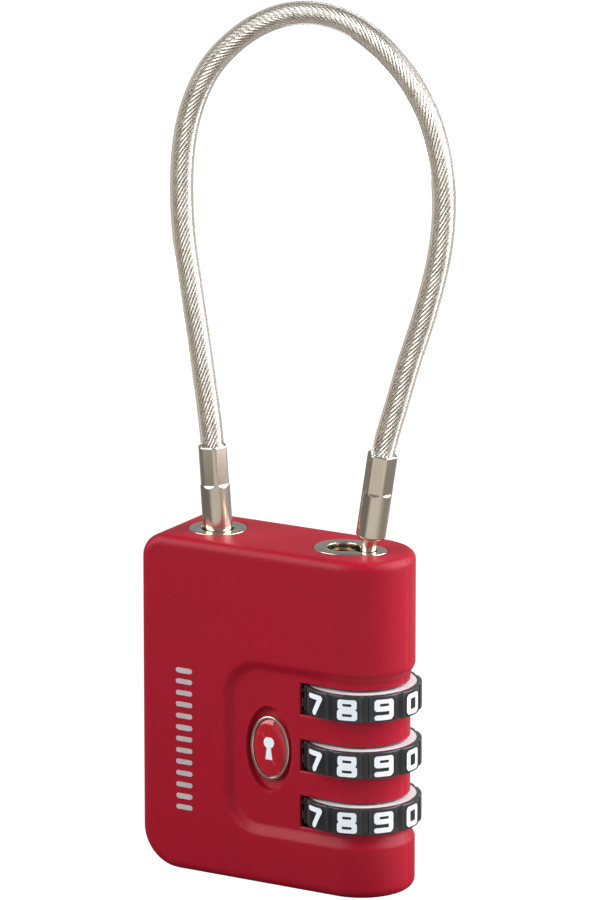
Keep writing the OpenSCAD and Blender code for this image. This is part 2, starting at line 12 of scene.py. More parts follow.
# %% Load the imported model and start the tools
import json
import math
import bmesh
import bpy
import numpy as np
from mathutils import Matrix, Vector


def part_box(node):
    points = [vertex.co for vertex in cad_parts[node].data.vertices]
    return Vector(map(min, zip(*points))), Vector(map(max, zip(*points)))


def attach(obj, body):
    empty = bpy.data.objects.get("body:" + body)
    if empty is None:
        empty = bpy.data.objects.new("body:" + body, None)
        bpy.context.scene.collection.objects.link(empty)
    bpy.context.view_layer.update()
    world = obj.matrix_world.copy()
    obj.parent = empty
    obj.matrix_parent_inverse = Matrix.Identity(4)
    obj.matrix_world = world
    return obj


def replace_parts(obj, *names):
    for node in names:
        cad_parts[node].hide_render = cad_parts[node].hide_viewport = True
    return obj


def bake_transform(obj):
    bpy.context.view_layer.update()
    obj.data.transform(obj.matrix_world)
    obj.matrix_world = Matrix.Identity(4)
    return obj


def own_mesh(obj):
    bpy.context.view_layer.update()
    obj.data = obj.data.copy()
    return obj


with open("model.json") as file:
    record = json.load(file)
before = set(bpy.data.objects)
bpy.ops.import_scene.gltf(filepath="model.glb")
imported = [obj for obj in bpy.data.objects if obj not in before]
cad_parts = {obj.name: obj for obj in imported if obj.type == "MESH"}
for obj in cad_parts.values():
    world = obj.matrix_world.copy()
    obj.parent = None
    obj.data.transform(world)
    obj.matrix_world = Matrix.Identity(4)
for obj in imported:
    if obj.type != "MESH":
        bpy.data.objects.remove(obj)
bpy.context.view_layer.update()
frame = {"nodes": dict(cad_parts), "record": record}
MM = 0.001
TURN = 2 * math.pi

# %% [markdown]
# ## Where everything is
#
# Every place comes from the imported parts, so the looks always fit the mechanism. A box's
# middle gives an axis and its size gives a radius. The few radii that no box shows, such as
# the soft edges of the moulding, are named here with the values that the mould would have.

# %% Read the places and sizes, in millimetres
def box_mm(node):
    low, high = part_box(node)
    return np.array(low) / MM, np.array(high) / MM


body_low, body_high = box_mm("front_shell")
BODY_LEFT, BODY_TOP, HALF_T = body_low[0], body_high[2], -body_low[1]
ring_low, ring_high = box_mm("dial_ring_1")
DIAL_X = (ring_low[0] + ring_high[0]) / 2
DIAL_R, DIAL_H = (ring_high[0] - ring_low[0]) / 2, ring_high[2] - ring_low[2]
DIAL_Z = [sum(box_mm(f"dial_ring_{i}"))[2] / 2 for i in (1, 2, 3)]
plate_low, plate_high = box_mm("keyhole_plate")
LOBE_R = plate_high[1]
HOLE_X = plate_low[0] + LOBE_R
SMALL_LOBE_R = 2.3
SMALL_LOBE_X = plate_high[0] - SMALL_LOBE_R
bush_low, bush_high = box_mm("cable_bush")
FIXED_X, FLANGE_R = (bush_low[0] + bush_high[0]) / 2, bush_high[1]
sleeve_low, sleeve_high = box_mm("cylinder_sleeve")
KEY_X, SLEEVE_R = (sleeve_low[0] + sleeve_high[0]) / 2, sleeve_high[1]
badge_low, badge_high = box_mm("badge")
BADGE_X, BADGE_Z = (badge_low[0] + badge_high[0]) / 2, (badge_low[2] + badge_high[2]) / 2
BADGE_A, BADGE_C = (badge_high[0] - badge_low[0]) / 2, (badge_high[2] - badge_low[2]) / 2
BUTTON_R = box_mm("reset_button")[1][1]
PARTING = 0.003
FILLET, LOW_CORNER_R, TOP_CORNER_R = 1.1, 5.0, 3.0
print("body from", BODY_LEFT, "up to", BODY_TOP, "dials", DIAL_X, DIAL_R, DIAL_Z)

# %% [markdown]
# ## The camera
#
# A product is best shown from far away through a long lens, so that upright edges stay
# upright and the loop keeps its true shape. The camera stands a little above the lock and to
# the right of its face. It comes first, because the cable has to fit in what it sees.

# %% Set the camera
AZIMUTH, ELEVATION = math.radians(30.45), math.radians(14.31)
AIM = Vector((1.57, 0, 54.35)) * MM
DISTANCE = 0.8575

camera_data = bpy.data.cameras.new("studio_camera")
camera_data.lens = 285.75
camera_data.sensor_width = 36
camera_data.shift_x = -0.0014
camera_data.shift_y = -0.0099
camera = bpy.data.objects.new("studio_camera", camera_data)
bpy.context.scene.collection.objects.link(camera)
bpy.context.scene.camera = camera
toward = Vector((
    math.sin(AZIMUTH) * math.cos(ELEVATION),
    -math.cos(AZIMUTH) * math.cos(ELEVATION),
    math.sin(ELEVATION),
))
camera.location = AIM + toward * DISTANCE
camera.rotation_euler = toward.to_track_quat("Z", "Y").to_euler()
print("camera at", [round(c, 4) for c in camera.location])

# %% [markdown]
# ## A few small helpers
#
# Nearly every piece here is a grid of points bent into shape: a tube is a grid whose columns
# close on themselves, and a turned part is a tube whose rings change radius. So one helper
# makes the faces of a grid, one makes an object from points in millimetres, and one applies
# the modifiers that finish a mesh. Two more measure a line and share out a rounded edge.

# %% Make the mesh helpers
SHARP = math.radians(38)


def grid_faces(rows, columns, closed_rows=False, closed_columns=False, first=0):
    faces = []
    for r in range(rows if closed_rows else rows - 1):
        for c in range(columns if closed_columns else columns - 1):
            r2, c2 = (r + 1) % rows, (c + 1) % columns
            corners = (r * columns + c, r * columns + c2, r2 * columns + c2, r2 * columns + c)
            faces.append([first + k for k in corners])
    return faces


def make_piece(name, points, faces, tidy=True):
    mesh = bpy.data.meshes.new(name)
    mesh.from_pydata((np.asarray(points, float) * MM).tolist(), [], faces)
    work = bmesh.new()
    work.from_mesh(mesh)
    if tidy:
        bmesh.ops.remove_doubles(work, verts=work.verts, dist=1e-6)
        bmesh.ops.dissolve_degenerate(work, edges=work.edges, dist=1e-7)
    bmesh.ops.recalc_face_normals(work, faces=work.faces)
    work.to_mesh(mesh)
    work.free()
    mesh.shade_smooth()
    mesh.set_sharp_from_angle(angle=SHARP)
    piece = bpy.data.objects.new(name, mesh)
    bpy.context.scene.collection.objects.link(piece)
    return piece


def apply_modifiers(piece):
    seen = piece.evaluated_get(bpy.context.evaluated_depsgraph_get())
    finished = bpy.data.meshes.new_from_object(seen)
    piece.modifiers.clear()
    piece.data = finished
    finished.shade_smooth()
    finished.set_sharp_from_angle(angle=SHARP)
    return piece


def distance_along(line):
    """How far along a line each of its points lies."""
    return np.concatenate([[0], np.cumsum(np.linalg.norm(np.diff(line, axis=0), axis=1))])


def quarter(n):
    """n angles from nothing to a quarter turn, for a rounded edge."""
    return np.linspace(0, math.pi / 2, n)


print("helpers ready")

# %% [markdown]
# ## The cable
#
# The real cable is a steel wire rope in a clear vinyl jacket. It is stiff enough to stand in
# a tall loop. One way to draw it is a bevelled curve with a twist painted on. Here the wires
# are real geometry instead, because the jacket bends light and shows them enlarged, and a
# painted pattern would not shift as the view turns.
#
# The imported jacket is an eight-sided tube, so each ring of it shows where the middle line
# goes. The rings' middles, in order round the loop, are the route. A curve through them with
# each point's slope taken from its neighbours, and a little smoothing, evens out the bends.

# %% Trace the middle line of the cable
FIXED_LEAN, FREE_LEAN = math.radians(-4.2), math.radians(9.1)
JACKET_R, ROPE_R = 1.4, 0.8
DENSE_STEP, SMOOTHING_PASSES = 0.1, 260
LINE_STEP = 0.4


def ring_middles(node):
    """Middles of a packed tube's rings, in order round the loop from its fixed end."""
    seen = frame["nodes"][node]
    corners = np.array([seen.matrix_world @ v.co for v in seen.data.vertices]) / MM
    upper = corners[corners[:, 1] > corners[:, 1].max() - 0.05][:, [0, 2]]
    upper = np.unique(upper.round(2), axis=0)
    loop_middle = np.array((HOLE_X / 2, upper[:, 1].mean()))
    bearing = (np.degrees(np.arctan2(*(upper - loop_middle).T)) + 180) % 360
    upper = upper[np.argsort(bearing)]
    pairs = upper[: len(upper) // 2 * 2].reshape(-1, 2, 2)
    return pairs.mean(axis=1)


route_mm = ring_middles("cable_jacket")
print("route points", len(route_mm), route_mm[0], route_mm[-1])


def smooth_line(points, first_slope, last_slope, step):
    """Points every step along a smooth curve through the given ones."""
    p = np.array(points, float)
    knot = distance_along(p)
    slope = np.gradient(p, knot, axis=0)
    slope[0], slope[-1] = first_slope, last_slope
    dense = np.linspace(0, knot[-1], int(knot[-1] / DENSE_STEP))
    k = np.clip(np.searchsorted(knot, dense, side="right") - 1, 0, len(p) - 2)
    span = (knot[k + 1] - knot[k])[:, None]
    t = ((dense - knot[k]) / span[:, 0])[:, None]
    curve = (
        (2 * t**3 - 3 * t**2 + 1) * p[k]
        + (t**3 - 2 * t**2 + t) * span * slope[k]
        + (3 * t**2 - 2 * t**3) * p[k + 1]
        + (t**3 - t**2) * span * slope[k + 1]
    )
    for _ in range(SMOOTHING_PASSES):
        curve[2:-2] += 0.25 * (curve[1:-3] - 2 * curve[2:-2] + curve[3:-1])
    run = distance_along(curve)
    even = np.linspace(0, run[-1], int(run[-1] / step) + 1)
    return np.column_stack([np.interp(even, run, curve[:, axis]) for axis in (0, 1)]), run[-1]


def leaning(angle):
    return np.array([math.sin(angle), math.cos(angle)])


cable_line, cable_length = smooth_line(route_mm, leaning(FIXED_LEAN), -leaning(FREE_LEAN), LINE_STEP)
print("cable length in mm", round(cable_length, 1))

# %% [markdown]
# A tube needs, at each point of its middle line, two directions across the line. The loop
# lies in one plane, so one of them is always the plane's own normal and the tube never
# twists. The jacket's ends tuck half a millimetre into the ferrules.

# %% Sweep the jacket
TUCK = 0.5


def sweep(line, radius, sides, offset=None):
    """Points and faces of a closed tube along a line in the XZ plane. offset moves each ring
    across the line, as two columns: along the loop's own plane, and along Y."""
    tangent = np.gradient(line, axis=0)
    tangent /= np.linalg.norm(tangent, axis=1)[:, None]
    across = np.column_stack([tangent[:, 1], -tangent[:, 0]])
    shift = np.zeros((len(line), 2)) if offset is None else offset
    angle = TURN * np.arange(sides) / sides
    a = shift[:, :1] + radius * np.cos(angle)[None, :]
    b = shift[:, 1:] + radius * np.sin(angle)[None, :]
    x = line[:, :1] + across[:, :1] * a
    z = line[:, 1:] + across[:, 1:] * a
    points = np.stack([x, b, z], axis=2).reshape(-1, 3)
    faces = grid_faces(len(line), sides, closed_columns=True)
    faces.append(list(range(sides))[::-1])
    faces.append([(len(line) - 1) * sides + k for k in range(sides)])
    return points, faces


def with_tucked_ends(line, tuck):
    first = line[0] - leaning(FIXED_LEAN) * tuck
    last = line[-1] - leaning(FREE_LEAN) * tuck
    return np.vstack([first, line, last])


jacket = make_piece("cable_jacket_clear", *sweep(with_tucked_ends(cable_line[::2], TUCK), JACKET_R, 40))
print("jacket faces", len(jacket.data.polygons))

# %% [markdown]
# The rope is laid up as it is made, from nineteen wires: one straight, six round it and
# twelve round those. The inner seven never show, so a plain core stands for them. The outer
# wires are drawn a little thin, which leaves the dark gaps that real wires show.

# %% Lay up the rope from its wires
OUTER_WIRES = 12
WIRE_SPREAD = math.sin(math.pi / OUTER_WIRES)
WIRE_RING_R = ROPE_R / (1 + WIRE_SPREAD)
WIRE_SHARE = 0.86
WIRE_R = WIRE_SHARE * WIRE_RING_R * WIRE_SPREAD
CORE_R = WIRE_RING_R - 0.06
ROPE_LAY = 9.0


def rope_wires(line):
    points, faces = sweep(line, CORE_R, 16)
    for w in range(OUTER_WIRES):
        turn = TURN * (w / OUTER_WIRES + distance_along(line) / ROPE_LAY)
        offset = WIRE_RING_R * np.column_stack([np.cos(turn), np.sin(turn)])
        more, more_faces = sweep(line, WIRE_R, 10, offset)
        faces += [[len(points) + k for k in face] for face in more_faces]
        points = np.vstack([points, more])
    return points, faces


rope = make_piece("cable_rope_wires", *rope_wires(with_tucked_ends(cable_line, TUCK)), tidy=False)
print("rope faces", len(rope.data.polygons))

# %% [markdown]
# The cable bridges two bodies: the fixed end stays with the lock, and the free end slides
# with its ferrule. Here the new jacket and rope take the place of the imported ones, which
# are hidden.

# %% Put the new cable in place of the imported one
for piece, node in ((jacket, "cable_jacket"), (rope, "cable_rope")):
    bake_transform(piece)
    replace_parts(piece, node)

# %% [markdown]
# ## The moulded shells
#
# The body is two thin mouldings that meet in a plane. Carving them from a block with cutters
# is quick but leaves long thin faces, and soft transitions such as the shoulder of the
# recessed panel are hard to cut. So each half is a single grid of points: the face and the
# round end are one sheet, and its rim is carried round the soft edges to the parting plane.
# Every point is then pushed inwards by a depth that depends only on where it lies, which
# makes the panel's shoulder and the rounded lips of the windows.

# %% Plan the grid lines of a shell
CORE_LEFT, CORE_TOP, CORE_LOW = BODY_LEFT + FILLET, BODY_TOP - FILLET, FILLET
CORE_T = HALF_T - FILLET
LOW_R, TOP_R = LOW_CORNER_R - FILLET, TOP_CORNER_R - FILLET
BLOCK = LOW_R
WINDOW_LEFT, WINDOW_HALF = DIAL_X - 5.1, DIAL_H / 2 + 0.28
LIP = 0.22


def spaced(*spans):
    """Grid lines through spans, each given as its start, its end and its largest step."""
    lines = [spans[0][0]]
    for start, end, step in spans:
        n = max(1, math.ceil(abs(end - start) / step - 1e-6))
        lines += [start + (end - start) * k / n for k in range(1, n + 1)]
    return lines


PANEL_LEFT, PANEL_LOW, PANEL_TOP = DIAL_X - 14.9, DIAL_Z[2] - 3.1, DIAL_Z[0] + 3.4
PANEL_R, PANEL_DEPTH, SHOULDER = 4.2, 0.6, 1.5
FINE, FINE_OUT, FINE_IN = 0.13, 0.9, 0.75

x_lines = spaced(
    (CORE_LEFT, CORE_LEFT + BLOCK, 0.4), (CORE_LEFT + BLOCK, PANEL_LEFT - 1, 0.8),
    (PANEL_LEFT - 1, PANEL_LEFT + 1, FINE), (PANEL_LEFT + 1, PANEL_LEFT + 5, 0.25),
    (PANEL_LEFT + 5, WINDOW_LEFT - LIP, 0.4), (WINDOW_LEFT - LIP, WINDOW_LEFT, 0.055),
    (WINDOW_LEFT, DIAL_X, 0.5),
)
last = PANEL_LOW + FINE_IN
z_spans = [(CORE_LOW, CORE_LOW + BLOCK, 0.4), (CORE_LOW + BLOCK, PANEL_LOW - FINE_OUT, 0.3),
           (PANEL_LOW - FINE_OUT, last, FINE)]
for z in reversed(DIAL_Z):
    low, high = z - WINDOW_HALF, z + WINDOW_HALF
    z_spans += [(last, low - LIP, 0.35), (low - LIP, low, 0.055), (low, high, 0.5), (high, high + LIP, 0.055)]
    last = high + LIP
z_spans += [(last, PANEL_TOP - FINE_IN, 0.2), (PANEL_TOP - FINE_IN, PANEL_TOP + FINE_OUT, FINE),
            (PANEL_TOP + FINE_OUT, CORE_TOP - BLOCK, 0.6), (CORE_TOP - BLOCK, CORE_TOP, 0.4)]
z_lines = spaced(*z_spans)
end_angles = [math.radians(4.5 * k) for k in range(1, 21)]
print("grid", len(z_lines), "rows", len(x_lines) + len(end_angles), "columns")

# %% [markdown]
# The panel's shoulder is a smooth step measured from a rounded rectangle. The lip of a
# window is a quarter of a small circle, so light catches it as it does on a real moulding.

# %% Give each place its depth
def smooth_step(t):
    t = np.clip(t, 0, 1)
    return t * t * (3 - 2 * t)


def inside_panel(x, z):
    """Distance inside the panel's outline, positive within. The panel has no right edge."""
    dx = (PANEL_LEFT + PANEL_R) - x
    dz = abs(z - (PANEL_LOW + PANEL_TOP) / 2) - ((PANEL_TOP - PANEL_LOW) / 2 - PANEL_R)
    outside = math.hypot(max(dx, 0), max(dz, 0))
    return PANEL_R - outside - min(max(dx, dz), 0)


def outside_window(x, z):
    """Distance from the nearest window, 0 within it."""
    dz = min(abs(z - middle) for middle in DIAL_Z) - WINDOW_HALF
    return math.hypot(max(WINDOW_LEFT - x, 0), max(dz, 0))


def depth_at(x, z):
    depth = PANEL_DEPTH * float(smooth_step(0.5 + inside_panel(x, z) / SHOULDER))
    d = outside_window(x, z)
    if d < LIP:
        depth += LIP - math.sqrt(LIP**2 - (LIP - d) ** 2)
    return depth


print("panel depth at its middle", round(depth_at(0, 17), 3))

# %% [markdown]
# The flat end has two large corner curves. A grid follows them when each corner block of the
# sheet is stretched between its four edges, two straight and two along the curve, which is
# called a Coons patch.

# %% Bend the sheet's corners
def corner_edge(radius, size, n):
    """n + 1 points from the middle of a corner's curve to the end of its block, for a corner
    at the lower left with its block's inner corner at (0, 0)."""
    arc = radius * math.pi / 4
    total = arc + size - radius
    points = []
    for k in range(n + 1):
        s = total * k / n
        if s < arc:
            a = math.pi * 1.25 - s / radius
            points.append((-(size - radius) + radius * math.cos(a), -(size - radius) + radius * math.sin(a)))
        else:
            points.append((-size, -(size - radius) + s - arc))
    return np.array(points)


def corner_patch(radius, size, n):
    """The block's (n + 1) x (n + 1) points; rows go up and columns go right."""
    left = corner_edge(radius, size, n)
    low = left[:, ::-1]
    patch = np.zeros((n + 1, n + 1, 2))
    for j in range(n + 1):
        for i in range(n + 1):
            u, v = i / n, j / n
            right, top = np.array((0, -size * (1 - v))), np.array((-size * (1 - u), 0))
            edges = (1 - v) * low[i] + v * top + (1 - u) * left[j] + u * right
            corners = ((1 - u) * (1 - v) * left[0] + u * (1 - v) * np.array((0, -size))
                       + (1 - u) * v * np.array((-size, 0)))
            patch[j, i] = edges - corners
    return patch


def sheet_grid():
    grid = np.zeros((len(z_lines), len(x_lines), 2))
    grid[:, :, 0], grid[:, :, 1] = np.array(x_lines)[None, :], np.array(z_lines)[:, None]
    n = sum(1 for x in x_lines if x < CORE_LEFT + BLOCK - 1e-6)
    inner = CORE_LEFT + BLOCK
    low = corner_patch(LOW_R, BLOCK, n)
    grid[: n + 1, : n + 1] = low + np.array((inner, CORE_LOW + BLOCK))
    top = corner_patch(TOP_R, BLOCK, n)[::-1] * np.array((1, -1))
    grid[-n - 1 :, : n + 1] = top + np.array((inner, CORE_TOP - BLOCK))
    return grid


sheet = sheet_grid()
print("sheet", sheet.shape)

# %% [markdown]
# Each point of the sheet knows two directions: the way its face looks, and, along the rim,
# the way the neighbouring side looks. A quarter turn from one to the other is the soft edge.
# From there, straight lines run to the parting plane.

# %% Build one half shell
FILLET_STEPS = 6
WALL_SHARES = (0.25, 0.5, 0.75, 0.985, 1)


def rim_normal(x, z):
    """Outward direction, across and up, at a point of the flat part's rim."""
    low_c = (CORE_LEFT + LOW_R, CORE_LOW + LOW_R)
    top_c = (CORE_LEFT + TOP_R, CORE_TOP - TOP_R)
    for cx, cz, sign in ((*low_c, -1), (*top_c, 1)):
        if x < cx - 1e-6 and (z - cz) * sign > 1e-6:
            r = math.hypot(x - cx, z - cz)
            return (x - cx) / r, (z - cz) / r
    if abs(x - CORE_LEFT) < 1e-6:
        return -1.0, 0.0
    return 0.0, (1.0 if z > BODY_TOP / 2 else -1.0)


def shell_half(name, side):
    """side is -1 for the half with the badge and 1 for the rear half."""
    rows, flat = len(z_lines), len(x_lines)
    columns = flat + len(end_angles)
    core, look = np.zeros((rows, columns, 3)), np.zeros((rows, columns, 3))
    core[:, :flat, 0], core[:, :flat, 2] = sheet[:, :, 0], sheet[:, :, 1]
    core[:, :flat, 1], look[:, :flat, 1] = -CORE_T, -1
    for k, a in enumerate(end_angles):
        core[:, flat + k, 0], core[:, flat + k, 1] = DIAL_X + CORE_T * math.sin(a), -CORE_T * math.cos(a)
        core[:, flat + k, 2] = z_lines
        look[:, flat + k, 0], look[:, flat + k, 1] = math.sin(a), -math.cos(a)
    face = core + look * FILLET
    for j in range(rows):
        for i in range(columns):
            face[j, i] -= look[j, i] * depth_at(core[j, i, 0], core[j, i, 2])
    points = face.reshape(-1, 3).tolist()
    faces = []
    for quad in grid_faces(rows, columns):
        x, z = np.mean([core.reshape(-1, 3)[k][[0, 2]] for k in quad], axis=0)
        if outside_window(x, z) > 0:
            faces.append(quad)
    rim = ([(0, i) for i in range(columns - 1, 0, -1)] + [(j, 0) for j in range(rows - 1)]
           + [(rows - 1, i) for i in range(columns)])
    previous = [j * columns + i for j, i in rim]
    for step in range(1, FILLET_STEPS + len(WALL_SHARES) + 1):
        ring = []
        for j, i in rim:
            p, a = core[j, i], look[j, i]
            nx, nz = rim_normal(p[0], p[2]) if i < flat else (0.0, 1.0 if j else -1.0)
            b = np.array((nx, 0, nz))
            turn = math.pi / 2 * min(step / FILLET_STEPS, 1)
            q = p + FILLET * (a * math.cos(turn) + b * math.sin(turn))
            if step > FILLET_STEPS:
                q[1] *= 1 - WALL_SHARES[step - FILLET_STEPS - 1]
            ring.append(len(points))
            points.append(q.tolist())
        for k in range(len(rim) - 1):
            faces.append([previous[k], previous[k + 1], ring[k + 1], ring[k]])
        previous = ring
    points = np.array(points)
    points[:, 1] = np.minimum(points[:, 1], -PARTING)
    points[:, 1] *= -side
    return make_piece(name, points, faces)


front = shell_half("shell_front", -1)
rear = shell_half("shell_rear", 1)
print("front faces", len(front.data.polygons), "rear faces", len(rear.data.polygons))

# %% [markdown]
# The sheet gets its wall by thickening it inwards. Then the openings are cut: the teardrop
# and the bush's seat on top, the two holes in the base, and the badge's pocket. A cutter is
# only an outline pulled into a solid, so one helper makes them all. Last, a fine bevel takes
# the edge off every cut, as a tool's own radius does.

# %% Cut the openings and finish the walls
WALL = 1.0
RIM = 0.012


def circle(x, y, r, n=64, start=0.0, sweep_angle=TURN):
    whole = abs(sweep_angle - TURN) < 1e-9
    count = n if whole else n + 1
    return [(x + r * math.cos(start + sweep_angle * k / n), y + r * math.sin(start + sweep_angle * k / n))
            for k in range(count)]


def teardrop(grow):
    """Outline round the large lobe and the small one, joined by their outer tangents."""
    big, small = LOBE_R + grow, SMALL_LOBE_R + grow
    a = math.acos((big - small) / (SMALL_LOBE_X - HOLE_X))
    return circle(HOLE_X, 0, big, 48, a, TURN - 2 * a) + circle(SMALL_LOBE_X, 0, small, 24, -a, 2 * a)


def capped_rings(rows, n):
    """Faces of a closed form from rings of n points each, with a cap at both ends."""
    caps = [list(range(n)), [(rows - 1) * n + k for k in range(n)]]
    return grid_faces(rows, n, closed_columns=True) + caps


def prism(outline, low, high, grow_top=0.0, axis="Z"):
    """A solid between two levels over an outline, wider at its top by grow_top."""
    flat = np.array(outline)
    centre = flat.mean(axis=0)
    out = flat - centre
    wide = flat + out / np.linalg.norm(out, axis=1)[:, None] * grow_top
    n = len(flat)
    levels = [np.column_stack([flat, np.full(n, low)]), np.column_stack([wide, np.full(n, high)])]
    points = np.vstack(levels)
    if axis == "Y":
        points = points[:, [0, 2, 1]]
    return points, capped_rings(2, n)


def cut(piece, points, faces):
    cutter = make_piece("cutter", points, faces)
    modifier = piece.modifiers.new("cut", "BOOLEAN")
    modifier.operation, modifier.solver, modifier.object = "DIFFERENCE", "EXACT", cutter
    apply_modifiers(piece)
    bpy.data.objects.remove(cutter)


def thicken(piece, wall):
    modifier = piece.modifiers.new("wall", "SOLIDIFY")
    modifier.thickness, modifier.offset = wall * MM, -1
    modifier.use_even_offset = True
    return apply_modifiers(piece)


def bevel(piece, width, angle=40, segments=2):
    modifier = piece.modifiers.new("rim", "BEVEL")
    modifier.width, modifier.segments = width * MM, segments
    modifier.limit_method, modifier.angle_limit = "ANGLE", math.radians(angle)
    modifier.use_clamp_overlap = True
    apply_modifiers(piece)


def oval(a, b, n=64):
    return [(a * math.cos(TURN * k / n), b * math.sin(TURN * k / n)) for k in range(n)]


PLATE_GAP, FLANGE_GAP, KEY_GAP, BUTTON_GAP = 0.06, 0.05, 0.08, 0.1
TOP_CUT, BASE_CUT = (BODY_TOP - 3, BODY_TOP + 1), (-1, 3)
POCKET_SIDE, POCKET_END, POCKET_FLARE, POCKET_DEPTH = 0.35, 1.2, 0.45, 0.8
POCKET_FLOOR = -HALF_T + PANEL_DEPTH + POCKET_DEPTH
for shell in (front, rear):
    thicken(shell, WALL)
    cut(shell, *prism(teardrop(PLATE_GAP), *TOP_CUT))
    cut(shell, *prism(circle(FIXED_X, 0, FLANGE_R + FLANGE_GAP), *TOP_CUT))
    cut(shell, *prism(circle(KEY_X, 0, SLEEVE_R + KEY_GAP), *BASE_CUT))
    cut(shell, *prism(circle(DIAL_X, 0, BUTTON_R + BUTTON_GAP), *BASE_CUT))
pocket = [(BADGE_X + x, BADGE_Z + z) for x, z in oval(BADGE_A + POCKET_SIDE, BADGE_C + POCKET_END)]
cut(front, *prism(pocket, POCKET_FLOOR, -HALF_T - 1, POCKET_FLARE, axis="Y"))
for shell in (front, rear):
    bevel(shell, RIM)
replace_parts(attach(front, "root"), "front_shell")
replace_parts(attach(rear, "root"), "rear_shell")
print("finished shells", len(front.data.polygons), len(rear.data.polygons))

# %% [markdown]
# ## The number dials
#
# A dial is a short ring with ten shallow facets, each a little flatter than the circle, and a
# finger groove between each two. It is turned from a closed profile like a pot, but with an
# outer radius that changes as it goes round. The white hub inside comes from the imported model.

# %% Turn the dial rings
FACETS = 10
FACET = TURN / FACETS
SAG, GROOVE_DEPTH, GROOVE_W, GROOVE_SIDE = 0.12, 0.16, 0.95, 0.16
FIRST_DIGIT = math.radians(-20)
HUB_R = box_mm("dial_core_1")[1][1]
HUB_GAP = 0.01
RING_EDGE = 0.14


def facet_radius(a):
    """Outer radius at an angle measured from the front towards the right."""
    local = (a - FIRST_DIGIT + FACET / 2) % FACET - FACET / 2
    r = DIAL_R - SAG * (local / (FACET / 2)) ** 2
    into_groove = GROOVE_W / 2 - (FACET / 2 - abs(local)) * DIAL_R
    return r - GROOVE_DEPTH * float(smooth_step(into_groove / GROOVE_SIDE))


def ring_profile():
    """(inset from the outer radius, height) round the section, or None for the inner wall."""
    half, e = DIAL_H / 2, RING_EDGE
    upper = [(e * (1 - math.sin(t)), half - e + e * math.cos(t)) for t in quarter(5)]
    lower = [(e * (1 - math.cos(t)), -half + e - e * math.sin(t)) for t in quarter(5)]
    return upper + [(0, half / 2), (0, 0), (0, -half / 2)] + lower + [(None, -half), (None, half)]


def dial_ring(name, z):
    steps = []
    for f in range(FACETS):
        start = FIRST_DIGIT - FACET / 2 + f * FACET
        fine = [0.01 * k for k in range(11)]
        middle = [0.11 + 0.78 * k / 12 for k in range(12)]
        steps += [start + FACET * t for t in fine + middle + [0.89 + t for t in fine]]
    rows = ring_profile()
    points = []
    for inset, height in rows:
        for a in steps:
            r = HUB_R + HUB_GAP if inset is None else facet_radius(a) - inset
            points.append((DIAL_X + r * math.sin(a), -r * math.cos(a), z + height))
    return make_piece(name, points, grid_faces(len(rows), len(steps), True, True))


for i, z in enumerate(DIAL_Z, 1):
    ring = dial_ring(f"dial_{i}_ring", z)
    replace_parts(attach(ring, f"dial_{i}"), f"dial_ring_{i}")
print("ring faces", len(ring.data.polygons))

# %% [markdown]
# The digits are pad printed in a square, round-cornered style. A font would do, but a glyph
# drawn as distances is easy to keep to this style: every stroke is a rounded bar, bars join
# by taking the nearer one, and counters are cut by taking the farther. The outline is where
# the distance is zero. It is found cell by cell, then wrapped on the facet and thickened.

# %% Draw the digits
FIRST_SHOWN = 7
GLYPH_W, GLYPH_H, STROKE = 2.5, 2.56, 0.62
CELL = 0.062


def bar(u, v, x, y, w, h, r):
    """Distance to a rounded box with its middle at (x, y)."""
    qx, qy = np.abs(u - x) - w / 2 + r, np.abs(v - y) - h / 2 + r
    return np.hypot(np.maximum(qx, 0), np.maximum(qy, 0)) + np.minimum(np.maximum(qx, qy), 0) - r


def leg(u, v, x1, y1, x2, y2, w):
    """Distance to a slanted bar with round ends."""
    dx, dy = x2 - x1, y2 - y1
    t = np.clip(((u - x1) * dx + (v - y1) * dy) / (dx * dx + dy * dy), 0, 1)
    return np.hypot(u - x1 - t * dx, v - y1 - t * dy) - w / 2


